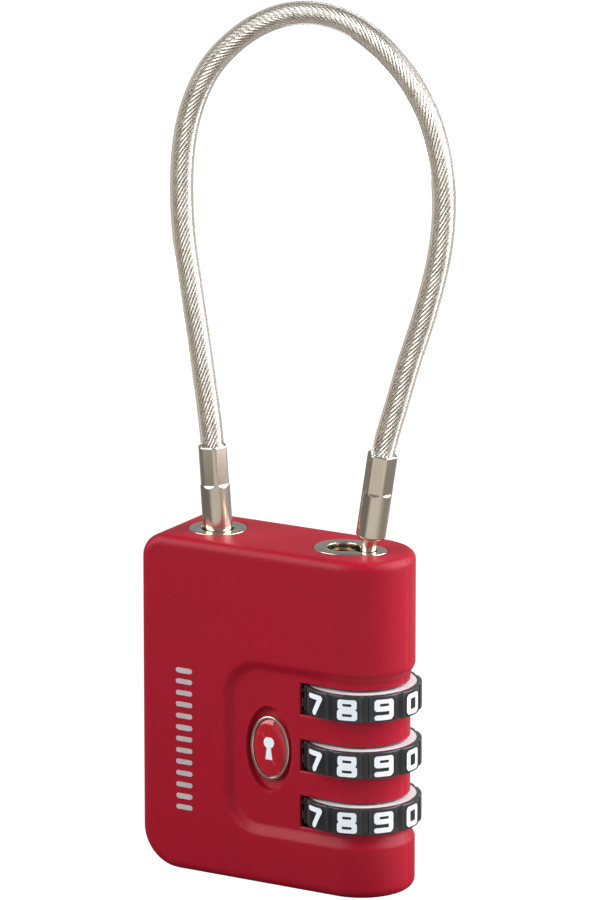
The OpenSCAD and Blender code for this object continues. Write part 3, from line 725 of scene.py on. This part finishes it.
def glyph(digit, u, v):
    W, H, S = GLYPH_W, GLYPH_H, STROKE
    top, low, right, left = H / 2 - S / 2, -H / 2 + S / 2, W / 2 - S / 2, -W / 2 + S / 2

    def across(y, x1=left, x2=right):
        return leg(u, v, x1, y, x2, y, S)

    def upright(x, y1, y2):
        return leg(u, v, x, y1, x, y2, S)

    def loop(y, w, h, r, counter_x, counter_y, counter_w, counter_h, counter_r):
        """A rounded block with a rounded counter cut out of it."""
        block = bar(u, v, 0, y, w, h, r)
        return np.maximum(block, -bar(u, v, counter_x, counter_y, counter_w, counter_h, counter_r))

    def joined(*strokes):
        return np.minimum.reduce(strokes)

    lower = loop(-H / 4 + 0.01, W, H / 2 + 0.02, 0.34, 0, -H / 4 - 0.01, W - 2 * S, 0.34, 0.16)
    if digit == 0:
        return loop(0, W - 0.1, H, 0.5, 0, 0, W - 2 * S - 0.15, H - 2 * S + 0.05, 0.16)
    if digit == 1:
        return joined(upright(0.25, low, top), leg(u, v, 0.25, top, -0.45, top - 0.5, S))
    if digit == 2:
        return joined(
            across(top, left, right - 0.2), leg(u, v, right, top - 0.2, right, 0.1, S),
            across(0, left + 0.2, right - 0.1), upright(left, -0.2, low), across(low),
        )
    if digit == 3:
        return joined(
            across(top, left, right - 0.15), across(0, left + 0.4, right - 0.15),
            across(low, left, right - 0.15), upright(right, low + 0.15, top - 0.15),
        )
    if digit == 4:
        return joined(
            leg(u, v, left + 0.25, top, left, -0.25, S), across(-0.3),
            upright(right - 0.35, low, top - 0.55),
        )
    if digit == 5:
        return joined(
            across(top), upright(left, 0.05, top), across(0.05, left, right - 0.2),
            upright(right, low + 0.2, -0.15), across(low, left, right - 0.2),
        )
    if digit == 6:
        return joined(lower, upright(left, 0, top - 0.15), across(top, left + 0.15, right))
    if digit == 7:
        slant = leg(u, v, right - 0.08, top - 0.08, -0.12, low, S + 0.04)
        return joined(across(top, left, right - 0.12), slant)
    if digit == 8:
        upper = loop(H / 4 + 0.01, W - 0.12, H / 2 - 0.02, 0.34, 0, H / 4 - 0.03, W - 2 * S - 0.1, 0.34, 0.16)
        return joined(upper, lower)
    upper = loop(H / 4 - 0.1, W, H / 2 + 0.2, 0.4, 0.02, H / 4 - 0.05, W - 2 * S - 0.05, 0.34, 0.15)
    return joined(upper, upright(right, low + 0.15, 0), across(low, left, right - 0.15))


def filled_outline(distance, us, vs):
    """Flat faces that cover where the distance is below zero, cut along its zero line."""
    points, faces, seen = [], [], {}

    def point(key, u, v):
        if key not in seen:
            seen[key] = len(points)
            points.append((u, v))
        return seen[key]

    for j in range(len(vs) - 1):
        for i in range(len(us) - 1):
            corners = [(i, j), (i + 1, j), (i + 1, j + 1), (i, j + 1)]
            values = [distance[b, a] for a, b in corners]
            if min(values) >= 0:
                continue
            loop = []
            for k in range(4):
                (a, b), (c, d) = corners[k], corners[(k + 1) % 4]
                va, vb = values[k], values[(k + 1) % 4]
                if va < 0:
                    loop.append(point((a, b), us[a], vs[b]))
                if (va < 0) != (vb < 0):
                    t = va / (va - vb)
                    key = (min((a, b), (c, d)), max((a, b), (c, d)))
                    loop.append(point(key, us[a] + (us[c] - us[a]) * t, vs[b] + (vs[d] - vs[b]) * t))
            if len(loop) > 2:
                faces.append(loop)
    return points, faces


PRINT_T, PRINT_ROOT, PRINT_DROP = 0.03, 0.03, 0.08
us = np.arange(-GLYPH_W / 2 - CELL, GLYPH_W / 2 + 2 * CELL, CELL)
vs = np.arange(-GLYPH_H / 2 - CELL, GLYPH_H / 2 + 2 * CELL, CELL)
U, V = np.meshgrid(us, vs)
outlines = [filled_outline(glyph(d, U, V), us, vs) for d in range(10)]
for i, z in enumerate(DIAL_Z, 1):
    points, faces = [], []
    for k in range(FACETS):
        flat, cells = outlines[(FIRST_SHOWN + k) % FACETS]
        a0 = FIRST_DIGIT + k * FACET
        faces += [[len(points) + c for c in cell] for cell in cells]
        for u, v in flat:
            a = a0 + u / DIAL_R
            r = facet_radius(a) + PRINT_T
            points.append((DIAL_X + r * math.sin(a), -r * math.cos(a), z + v - PRINT_DROP))
    digits = make_piece(f"dial_{i}_digits", points, faces, tidy=False)
    thicken(digits, PRINT_T + PRINT_ROOT)
    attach(digits, f"dial_{i}")
print("digit faces", len(digits.data.polygons))

# %% [markdown]
# ## The metal fittings
#
# The ferrules are brass tubes, nickel plated. They are turned round, then pressed to a hexagon
# where they grip the cable. So the section changes from a circle to a soft hexagon over a
# third of a millimetre, and the press leaves a slightly rolled lip at the mouth.

# %% Press the ferrules
FERRULE_R, CRIMP_APOTHEM, CRIMP_L, CRIMP_SWELL = 1.8, 1.65, 5.1, 0.03
CRIMP_LIP, CRIMP_RAMP, TAIL_ROUND, MOUTH_DEPTH = 0.16, 0.36, 0.28, 1.2
LEVEL_GAP, FOOT_SHARE, LIP_SHARE = 0.06, 0.9, 0.09
LOCKED_X = HOLE_X + 3.45


def hexagon_radius(a, turned, pressed):
    """Radius where six flats are pressed in: 0 is the round tube and 1 the full depth."""
    local = (a - turned + math.pi / 6) % (math.pi / 3) - math.pi / 6
    flat = (FERRULE_R + CRIMP_SWELL + (CRIMP_APOTHEM - FERRULE_R - CRIMP_SWELL) * pressed) / math.cos(local)
    return (flat**-80 + (FERRULE_R + CRIMP_SWELL * pressed) ** -80) ** (-1 / 80)


def ferrule(name, x, low, high, lean, flat_at):
    """A ferrule on an axis that leans from a point of the top face. Heights run along it."""
    shoulder = high - CRIMP_L
    pressed_from, pressed_to = shoulder + CRIMP_RAMP, high - CRIMP_LIP
    stations = [(low, FOOT_SHARE, 0)]
    for t in quarter(6)[::-1]:
        drawn_in = TAIL_ROUND / FERRULE_R * (1 - math.cos(t))
        stations.append((low + TAIL_ROUND * (1 - math.sin(t)), 1 - drawn_in, 0))
    stations += [(low + TAIL_ROUND + LEVEL_GAP, 1, 0), (shoulder - LEVEL_GAP, 1, 0)]
    stations += [(shoulder + CRIMP_RAMP * k / 8, 1, k / 8) for k in range(9)]
    stations += [(pressed_from + LEVEL_GAP, 1, 1), (pressed_to - LEVEL_GAP, 1, 1)]
    for t in quarter(7)[1:]:
        stations.append((pressed_to + CRIMP_LIP * math.sin(t), 1 - LIP_SHARE * (1 - math.cos(t)), 1))
    bore = JACKET_R / FERRULE_R
    stations += [(high - 0.02, bore + 0.03, 2), (high - MOUTH_DEPTH, bore + 0.02, 2)]
    n = 96
    axis = np.array((math.sin(lean), 0, math.cos(lean)))
    side = np.array((math.cos(lean), 0, -math.sin(lean)))
    start = np.array((x, 0, BODY_TOP))
    points = []
    for height, scale, kind in stations:
        for k in range(n):
            a = TURN * k / n
            r = FERRULE_R if kind == 2 else hexagon_radius(a, flat_at, kind)
            q = start + axis * height + side * r * scale * math.sin(a)
            points.append(q - np.array((0, r * scale * math.cos(a), 0)))
    return make_piece(name, points, capped_rings(len(stations), n))


def along(end, x):
    return math.hypot(end[0] - x, end[1] - BODY_TOP)


free_top = along(route_mm[-1], LOCKED_X)
fixed_top = along(route_mm[0], FIXED_X)
FREE_LOW, FIXED_LOW = 1.85, -1.6
free = ferrule("ferrule_free", LOCKED_X, FREE_LOW, free_top, FREE_LEAN, math.radians(16))
fixed = ferrule("ferrule_fixed", FIXED_X, FIXED_LOW, fixed_top, FIXED_LEAN, math.radians(8))
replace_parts(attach(free, "free_end"), "free_ferrule")
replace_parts(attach(fixed, "root"), "fixed_ferrule")
print("ferrules end at", round(free_top, 2), round(fixed_top, 2))

# %% [markdown]
# The keyhole plate is blanked from sheet, so its edges are rolled over on the side the press
# came from. The pin's head enters at the round end and slides along under the slot. The bush
# is turned: a flat flange, a small chamfer into the bore, and a tube below it.

# %% Make the plate and the bush
PLATE_T, NECK_R, HOLE_R, PROUD, PLATE_EDGE = 1.0, 0.95, 2.0, 0.05, 0.1
plate = make_piece("plate_keyhole", *prism(teardrop(0), BODY_TOP + PROUD - PLATE_T, BODY_TOP + PROUD))
half_slot = NECK_R + 0.15
mouth = math.asin(half_slot / HOLE_R)
hole = (circle(HOLE_X, 0, HOLE_R, 48, mouth, TURN - 2 * mouth)
        + circle(LOCKED_X, 0, half_slot, 20, -math.pi / 2, math.pi))
cut(plate, *prism(hole, *TOP_CUT))
bevel(plate, PLATE_EDGE, segments=3)
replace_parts(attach(plate, "root"), "keyhole_plate")


def turned(name, x, y, profile, n=96):
    """A part turned about an upright axis from a closed outline of (radius, height) points."""
    points = [(x + r * math.cos(TURN * k / n), y + r * math.sin(TURN * k / n), z)
              for r, z in profile for k in range(n)]
    return make_piece(name, points, grid_faces(len(profile), n, True, True))


top, under, bore = BODY_TOP + PROUD, BODY_TOP - 0.9, FERRULE_R + 0.25
ROLL_R, TUBE_WALL = 0.12, 0.55
rolled = [(FLANGE_R - ROLL_R * (1 - math.cos(t)), top - ROLL_R + ROLL_R * math.sin(t))
          for t in quarter(6)]
profile = [(bore + TUBE_WALL, bush_low[2]), (bore + TUBE_WALL, under), (FLANGE_R, under), *rolled,
           (bore + 0.12, top), (bore + 0.03, top - 0.04), (bore, top - 0.14), (bore, bush_low[2])]
bush = turned("bush_fixed", FIXED_X, 0, profile)
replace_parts(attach(bush, "root"), "cable_bush")
print("plate faces", len(plate.data.polygons))

# %% [markdown]
# The two coil springs inside shorten as their parts move. Here each is a plain copy of its
# imported part, fixed to the lock.


def springing(node, axis, anchor_end):
    """A copy of a packed spring, fixed to the lock. The axis (1 is Y, 2 is Z) and the end, low (0)
    or high (1), pick the middle of that end as an anchor."""
    seen = frame["nodes"][node]
    points = [(seen.matrix_world @ v.co) / MM for v in seen.data.vertices]
    spring = make_piece(node + "_coils", points, [list(f.vertices) for f in seen.data.polygons])
    low, high = box_mm(node)
    anchor = (low + high) / 2
    anchor[axis] = (low, high)[anchor_end][axis]
    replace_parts(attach(spring, "root"), node)
    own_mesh(spring)


springing("comb_spring", 1, 0)
springing("spindle_spring", 2, 1)

# %% [markdown]
# ## The badge and the print
#
# The badge is a glossy oval dome in a thin bright frame, with a plain keyhole sign. The dome
# is a flattened half ellipsoid with a flatter crown, so that a lamp shows in it as a soft
# streak. The left side of the face carries a plain printed bar of short dashes.

# %% Make the badge
FRAME_W, DOME_H, ROLL, ROLL_DROP = 0.36, 0.42, 0.1, 0.25
BADGE_TOP, BADGE_BACK = -badge_low[1], -badge_high[1]


def oval_rings(name, rings, n=96):
    """A closed form from oval rings, each (inset, distance towards the viewer)."""
    points = []
    for inset, y in rings:
        for px, pz in oval(BADGE_A - inset, BADGE_C - inset, n):
            points.append((BADGE_X + px, -y, BADGE_Z + pz))
    return make_piece(name, points, capped_rings(len(rings), n))


lip = [(ROLL * (1 - math.cos(t)), BADGE_TOP - ROLL_DROP + ROLL * math.sin(t)) for t in quarter(5)]
inner = [(FRAME_W - 0.06, BADGE_TOP - 0.15), (FRAME_W, BADGE_TOP - 0.22), (FRAME_W, BADGE_BACK + 0.2)]
rim = oval_rings("badge_rim", [(0, BADGE_BACK), *lip, *inner])
crown = [
    (FRAME_W + (BADGE_A - FRAME_W - 0.01) * (1 - math.cos(t)), BADGE_TOP - DOME_H + DOME_H * math.sin(t))
    for t in quarter(16)
]
dome = oval_rings("badge_dome", [(FRAME_W - 0.02, BADGE_BACK + 0.15), *crown])
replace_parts(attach(rim, "root"), "badge")
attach(dome, "root")

SIGN_T, SIGN_PROUD = 0.05, 0.03


def flat_sign(name, draw, x, z, w, h, y, cell=0.06):
    """A thin printed shape on the front, from a distance over (across, up)."""
    a = np.arange(-w / 2 - cell, w / 2 + 2 * cell, cell)
    b = np.arange(-h / 2 - cell, h / 2 + 2 * cell, cell)
    A, B = np.meshgrid(a, b)
    flat, faces = filled_outline(draw(A, B), a, b)
    points = [(x + u, -y(x + u, z + v), z + v) for u, v in flat]
    sign = make_piece(name, points, faces, tidy=False)
    return thicken(sign, SIGN_T)


def dome_height(x, z):
    d = math.hypot((x - BADGE_X) / (BADGE_A - FRAME_W), (z - BADGE_Z) / (BADGE_C - FRAME_W))
    return BADGE_TOP - DOME_H + DOME_H * math.sin(math.acos(min(d, 1))) + SIGN_PROUD


def keyhole_sign(u, v):
    stem = np.maximum(np.abs(u) - 0.26 - 0.14 * (0.2 - v), np.abs(v + 0.55) - 0.85)
    return np.minimum(np.hypot(u, v - 0.75) - 0.72, stem)


print("badge at", round(BADGE_X, 2), round(BADGE_Z, 2))

# %% [markdown]
# Print is a layer of ink a few hundredths of a millimetre thick. It could be a decal on the
# face, but a thin shape of its own keeps a crisp edge at any distance.

# %% Print the sign and the bar
SIGN_W, SIGN_H = 2.2, 3.6
BAR_X, BAR_Z, BAR_H, BAR_W = BODY_LEFT + 6.2, BODY_TOP * 0.4, 18.0, 2.3
DASH_PITCH, DASH_H, DASH_R, DASH_EDGE, DASH_ROOM = 1.45, 0.62, 0.3, 0.35, 1.2
INK_T = 0.012


def bar_sign(u, v):
    """A column of short rounded dashes, with one more at each end."""
    local = (v + DASH_PITCH / 2) % DASH_PITCH - DASH_PITCH / 2
    inside = np.abs(v) - (BAR_H / 2 - DASH_ROOM)
    dashes = np.maximum(bar(u, local, 0, 0, BAR_W, DASH_H, DASH_R), inside)
    high_end = bar(u, v, 0, BAR_H / 2 - DASH_EDGE, BAR_W, DASH_H, DASH_R)
    low_end = bar(u, v, 0, DASH_EDGE - BAR_H / 2, BAR_W, DASH_H, DASH_R)
    return np.minimum.reduce([dashes, high_end, low_end])


def face_height(x, z):
    return HALF_T + INK_T


sign = flat_sign("badge_sign", keyhole_sign, BADGE_X, BADGE_Z, SIGN_W, SIGN_H, dome_height)
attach(sign, "root")
printed = flat_sign("printed_bar", bar_sign, BAR_X, BAR_Z, BAR_W, BAR_H, face_height)
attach(printed, "root")
print("print faces", len(printed.data.polygons))

# %% [markdown]
# ## Surface effects
#
# Four effects return in several materials, so each is a node group: the fine grain of a
# mould, the wear that shows on edges, which on the rope's wires is a painted glint, the faint
# smears that handling leaves, and the lines that a lathe or a press leaves on metal. Each puts
# out only what varies over the surface.

# %% Build the effect groups
def effect(name, inputs, outputs):
    group = bpy.data.node_groups.new(name, "ShaderNodeTree")
    for label, value in inputs:
        group.interface.new_socket(label, in_out="INPUT", socket_type="NodeSocketFloat").default_value = value
    for label, kind in outputs:
        group.interface.new_socket(label, in_out="OUTPUT", socket_type=kind)
    return group, group.nodes.new("NodeGroupInput"), group.nodes.new("NodeGroupOutput")


def add(tree, kind, **settings):
    """A node with settings by name. A tuple (node, socket) or a node's output links instead."""
    node = tree.nodes.new("ShaderNode" + kind)
    for key, value in settings.items():
        if hasattr(node, key):
            setattr(node, key, value)
            continue
        socket = node.inputs[int(key[1:]) if key[0] == "i" and key[1:].isdigit() else key]
        if isinstance(value, bpy.types.NodeSocket):
            tree.links.new(value, socket)
        else:
            socket.default_value = value
    return node


VALUE, NORMAL = "NodeSocketFloat", "NodeSocketVector"

grain, g_in, g_out = effect("moulded_grain", [("Scale", 5200), ("Depth", 0.00001)], [("Normal", NORMAL)])
place = add(grain, "TexCoord").outputs["Object"]
fine = add(grain, "TexNoise", Vector=place, Scale=g_in.outputs["Scale"], Detail=4.0, Roughness=0.6).outputs[0]
coarse = add(grain, "TexVoronoi", Vector=place, Scale=g_in.outputs["Scale"]).outputs["Distance"]
height = add(grain, "Math", operation="ADD", i0=fine, i1=coarse).outputs[0]
relief = add(grain, "Bump", Height=height, Distance=g_in.outputs["Depth"], Strength=1.0).outputs[0]
grain.links.new(relief, g_out.inputs["Normal"])

# Pointiness turns edges paler: wear on most finishes, and a painted glint on the rope's wires.
glint_and_wear, w_in, w_out = effect("edge_wear_and_glint", [("Width", 0.06)], [("Edge", VALUE)])
point = add(glint_and_wear, "NewGeometry").outputs["Pointiness"]
place = add(glint_and_wear, "TexCoord").outputs["Object"]
broken = add(glint_and_wear, "TexNoise", Vector=place, Scale=900.0, Detail=3.0).outputs[0]
over = add(glint_and_wear, "Math", operation="SUBTRACT", i0=point, i1=0.5).outputs[0]
rise = add(glint_and_wear, "Math", operation="DIVIDE", i0=over, i1=w_in.outputs["Width"], use_clamp=True).outputs[0]
edge = add(glint_and_wear, "Math", operation="MULTIPLY", i0=rise, i1=broken, use_clamp=True).outputs[0]
glint_and_wear.links.new(edge, w_out.inputs["Edge"])

smear, s_in, s_out = effect("handling_smears", [("Scale", 90)], [("Smear", VALUE)])
place = add(smear, "TexCoord").outputs["Object"]
wide = add(smear, "TexNoise", Vector=place, Scale=s_in.outputs["Scale"], Detail=5.0, Distortion=0.6)
spread = add(smear, "MapRange", Value=wide.outputs[0], i1=0.35, i2=0.7).outputs[0]
smear.links.new(spread, s_out.inputs["Smear"])

lines, l_in, l_out = effect("tool_lines", [("Pitch", 9000), ("Depth", 0.000004)], [("Normal", NORMAL)])
place = add(lines, "TexCoord").outputs["Object"]
stretch = add(lines, "Mapping", Vector=place)
stretch.inputs["Scale"].default_value = (0.06, 0.06, 1.0)
band = add(lines, "TexNoise", Vector=stretch.outputs[0], Scale=l_in.outputs["Pitch"], Detail=3.0).outputs[0]
relief = add(lines, "Bump", Height=band, Distance=l_in.outputs["Depth"], Strength=1.0).outputs[0]
lines.links.new(relief, l_out.inputs["Normal"])
print("effect groups ready")

# %% [markdown]
# ## Materials
#
# Every finish starts from the same parts: a shader, a colour that drifts a little between two
# near tones, and a roughness that drifts with the smears. Plastics take the mould's grain and
# metals take tool lines. Edges are paler where the material is worn or thin, and the rope's
# wires carry a painted glint on their edges in the same way.

# %% Make the materials
def use(tree, group, **inputs):
    node = tree.nodes.new("ShaderNodeGroup")
    node.node_tree = group
    for key, value in inputs.items():
        node.inputs[key].default_value = value
    return node.outputs


def between(tree, factor, a, b):
    """A colour between two, by a varying factor."""
    mix = add(tree, "Mix", data_type="RGBA")
    tree.links.new(factor, mix.inputs[0])
    for socket, value in ((mix.inputs[6], a), (mix.inputs[7], b)):
        if isinstance(value, bpy.types.NodeSocket):
            tree.links.new(value, socket)
        else:
            socket.default_value = (*value, 1)
    return mix.outputs[2]


def ranged(tree, value, low, high):
    return add(tree, "MapRange", Value=value, i3=low, i4=high).outputs[0]


def finish(name, tone, other, worn_and_glinting_edge_tone, rough, metallic=0.0, relief=None, **effect_inputs):
    """A material whose colour drifts between two tones and turns to a third on edges."""
    material = bpy.data.materials.new(name)
    material.use_nodes = True
    tree = material.node_tree
    shader = tree.nodes["Principled BSDF"]
    shader.inputs["Metallic"].default_value = metallic
    drift = use(tree, smear)["Smear"]
    edges = use(tree, glint_and_wear)
    surface = use(tree, relief or grain, **effect_inputs)
    colour = between(tree, drift, tone, other)
    # Edges turn to the edge tone: wear, and on the wires a painted glint.
    colour = between(tree, edges["Edge"], colour, worn_and_glinting_edge_tone)
    tree.links.new(colour, shader.inputs["Base Color"])
    tree.links.new(ranged(tree, drift, *rough), shader.inputs["Roughness"])
    tree.links.new(surface["Normal"], shader.inputs["Normal"])
    return material


def tune(material, **values):
    """Set plain values on a finish's own shader, such as Coat_Weight for its coat."""
    for key, value in values.items():
        material.node_tree.nodes["Principled BSDF"].inputs[key.replace("_", " ")].default_value = value
    return material


red = finish("red_satin_plastic", (0.355, 0.0055, 0.021), (0.325, 0.0045, 0.018),
             (0.38, 0.008, 0.024), (0.36, 0.44))
tune(red, Specular_IOR_Level=0.2)
black = finish("black_gloss_plastic", (0.010, 0.011, 0.013), (0.014, 0.015, 0.017),
               (0.08, 0.085, 0.09), (0.2, 0.3), Depth=0.000003)
white = finish("white_plastic", (0.80, 0.80, 0.79), (0.74, 0.75, 0.75),
               (0.85, 0.85, 0.85), (0.28, 0.4), Depth=0.000003)
ink = finish("white_ink", (0.84, 0.90, 0.95), (0.79, 0.86, 0.92), (0.88, 0.92, 0.95), (0.4, 0.55))
silver_ink = finish("silver_ink", (0.50, 0.47, 0.48), (0.42, 0.38, 0.39), (0.6, 0.57, 0.57),
                    (0.4, 0.5), metallic=0.2)
nickel = finish("warm_nickel", (0.66, 0.58, 0.47), (0.60, 0.52, 0.41), (0.90, 0.86, 0.78),
                (0.16, 0.22), 1.0, lines, Depth=0.000001)
zinc = finish("cast_zinc", (0.42, 0.41, 0.39), (0.35, 0.34, 0.33), (0.55, 0.54, 0.52),
              (0.4, 0.6), 1.0, Depth=0.00003)
steel = finish("plain_steel", (0.50, 0.50, 0.49), (0.42, 0.42, 0.41), (0.7, 0.7, 0.68),
               (0.25, 0.38), 1.0, lines)
brass = finish("machined_brass", (0.62, 0.47, 0.22), (0.52, 0.38, 0.17), (0.8, 0.65, 0.36),
               (0.28, 0.42), 1.0, Depth=0.00005, Scale=2600.0)
# The wire's near-white edge tone is a painted glint along the wires.
wire = finish("bright_wire", (0.55, 0.515, 0.46), (0.48, 0.445, 0.39), (0.95, 0.94, 0.9),
              (0.26, 0.34), 1.0, lines, Depth=0.000001)
domed = finish("badge_red_gloss", (0.45, 0.004, 0.015), (0.36, 0.003, 0.012), (0.6, 0.03, 0.04),
               (0.06, 0.12), Depth=0.000001)
tune(domed, Coat_Weight=0.6, Coat_Roughness=0.04)
print("ten finishes and the badge's gloss ready")

# %% [markdown]
# The jacket is clear vinyl. Glass that bends light is right for it, but in a renderer such
# glass casts a solid shadow, and the rope inside would be dark. So shadow rays meet a plain
# see-through shader instead, and everything else meets the glass.

# %% Make the clear vinyl
clear = bpy.data.materials.new("clear_vinyl")
clear.use_nodes = True
tree = clear.node_tree
glass = tree.nodes["Principled BSDF"]
tune(clear, Transmission_Weight=1, IOR=1.46)
tone = between(tree, use(tree, smear, Scale=160.0)["Smear"], (0.975, 0.97, 0.955), (0.955, 0.95, 0.93))
tree.links.new(tone, glass.inputs["Base Color"])
tree.links.new(ranged(tree, use(tree, smear)["Smear"], 0.03, 0.09), glass.inputs["Roughness"])
tree.links.new(use(tree, grain, Depth=0.000002, Scale=1200.0)["Normal"], glass.inputs["Normal"])
shadow = add(tree, "LightPath").outputs["Is Shadow Ray"]
through = add(tree, "BsdfTransparent", Color=(0.95, 0.945, 0.93, 1))
both = add(tree, "MixShader", i0=shadow, i1=glass.outputs[0], i2=through.outputs[0])
tree.links.new(both.outputs[0], tree.nodes["Material Output"].inputs["Surface"])
print("clear vinyl ready")

# %% [markdown]
# A piece made here gets its finish directly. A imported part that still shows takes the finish
# of its own material slot, so nothing keeps a plain colour.

# %% Give every piece its finish
by_slot = {
    "red_plastic": red, "badge_red": domed, "black_plastic": black, "white_plastic": white,
    "nickel": nickel, "zinc": zinc, "steel": steel, "brass": brass, "rope_steel": wire,
    "clear_jacket": clear,
}
packed_slots = {part["node"]: part["material_slot"] for part in frame["record"]["subparts"]}
made = {"badge_sign": ink, "printed_bar": silver_ink, "badge_dome": domed,
        "cable_jacket_clear": clear, "cable_rope_wires": wire}
made |= {name: red for name in ("shell_front", "shell_rear")}
made |= {name: steel for name in ("comb_spring_coils", "spindle_spring_coils")}
for name in ("plate_keyhole", "bush_fixed", "ferrule_free", "ferrule_fixed", "badge_rim"):
    made[name] = nickel
for i in (1, 2, 3):
    made |= {f"dial_{i}_ring": black, f"dial_{i}_digits": ink}
for name, material in made.items():
    bpy.data.objects[name].data.materials.clear()
    bpy.data.objects[name].data.materials.append(material)
for node, seen in frame["nodes"].items():
    seen.data.materials.clear()
    seen.data.materials.append(by_slot[packed_slots[node]])
print("finished", len(made), "made pieces and", len(frame["nodes"]), "packed parts")

# %% [markdown]
# ## The studio
#
# A pale floor fills the view. Two large soft lamps stand front left and behind to the right,
# so that the face is even and the round end is brighter. A glossy thing shows the floor in
# front of it, so the paper is darker where the red face would mirror it, and pale where the
# metal fittings do. Only reflections see that: the camera sees plain white paper.

# %% Lay the floor and hang the lamps
FLOOR_HALF = 3000
corners = [(x * FLOOR_HALF, y * FLOOR_HALF, 0) for x, y in ((-1, -1), (1, -1), (1, 1), (-1, 1))]
floor = make_piece("floor", corners, [[0, 1, 2, 3]])
paper = bpy.data.materials.new("white_paper")
paper.use_nodes = True
tree = paper.node_tree
matt = tree.nodes["Principled BSDF"]
tune(paper, Roughness=1.0, Specular_IOR_Level=0.0)
shifted = add(tree, "Mapping", Vector=add(tree, "TexCoord").outputs["Object"])
shifted.inputs["Location"].default_value = (-0.03, -0.01, 0)
spot = add(tree, "SeparateXYZ", Vector=shifted.outputs[0]).outputs
ahead = add(tree, "Math", operation="MULTIPLY", i0=spot[1], i1=-1.0).outputs[0]
bearing = add(tree, "Math", operation="ARCTAN2", i0=spot[0], i1=ahead).outputs[0]
turn_part = add(tree, "MapRange", Value=bearing, i1=-math.pi, i2=math.pi).outputs[0]
ramp = add(tree, "ValToRGB", Fac=turn_part)
SHADES = {-179: 0.3, -80: 0.13, -28: 0.13, -12: 0.5, 45: 0.46, 85: 0.24, 120: 0.2, 179: 0.25}
for degrees, level in SHADES.items():
    stop = ramp.color_ramp.elements.new(0.5 + degrees / 360)
    stop.color = (level, level, level * 0.96, 1)
tree.links.new(ramp.outputs[0], matt.inputs["Base Color"])
tone = between(tree, use(tree, smear, Scale=6.0)["Smear"], (1.0, 1.0, 1.0), (0.99, 0.99, 0.99))
path = add(tree, "LightPath").outputs
glow = add(tree, "Emission", Color=tone, Strength=1.1)
# Seen through the clear jacket, the paper glows a dim beige instead: painted shade that darkens and tints the
# jacket's clear edges.
painted_shade_through_jacket = between(tree, use(tree, smear, Scale=6.0)["Smear"], (0.57, 0.51, 0.44), (0.54, 0.48, 0.41))
painted_shade_glow = add(tree, "Emission", Color=painted_shade_through_jacket, Strength=1.0)
seen_through = add(tree, "MixShader", i0=path["Is Transmission Ray"], i1=matt.outputs[0], i2=painted_shade_glow.outputs[0])
shown = add(tree, "MixShader", i0=path["Is Camera Ray"], i1=seen_through.outputs[0], i2=glow.outputs[0])
tree.links.new(shown.outputs[0], tree.nodes["Material Output"].inputs["Surface"])
floor.data.materials.append(paper)


def lamp(name, bearing, height, distance, width, tall, power, tone=(1, 1, 1)):
    """A soft rectangular lamp that looks at the lock. Bearing 0 is in front, 90 on the right."""
    data = bpy.data.lights.new(name, "AREA")
    data.shape, data.size, data.size_y = "RECTANGLE", width, tall
    data.energy, data.color = power, tone
    seen = bpy.data.objects.new(name, data)
    bpy.context.scene.collection.objects.link(seen)
    b, h = math.radians(bearing), math.radians(height)
    way = Vector((math.sin(b) * math.cos(h), -math.cos(b) * math.cos(h), math.sin(h)))
    seen.location = Vector((0, 0, 0.04)) + way * distance
    seen.rotation_euler = way.to_track_quat("Z", "Y").to_euler()


lamp("rim_right", 118, 29, 0.95, 1.2, 1.2, 24.0, (1.0, 0.95, 1.0))
lamp("fill_left", -42, 29, 1.0, 1.0, 1.0, 12.2)

world = bpy.data.worlds.new("studio")
world.use_nodes = True
bpy.context.scene.world = world
tree = world.node_tree
way = add(tree, "TexCoord").outputs["Generated"]
parts = add(tree, "SeparateXYZ", Vector=way)
up = add(tree, "MapRange", Value=parts.outputs[2], i1=-0.2, i2=0.8).outputs[0]
sky = between(tree, up, (1.0, 1.0, 1.0), (0.5, 0.5, 0.52))
tree.links.new(sky, tree.nodes["Background"].inputs["Color"])
tree.nodes["Background"].inputs["Strength"].default_value = 0.42
bpy.context.scene.view_settings.view_transform = "Standard"
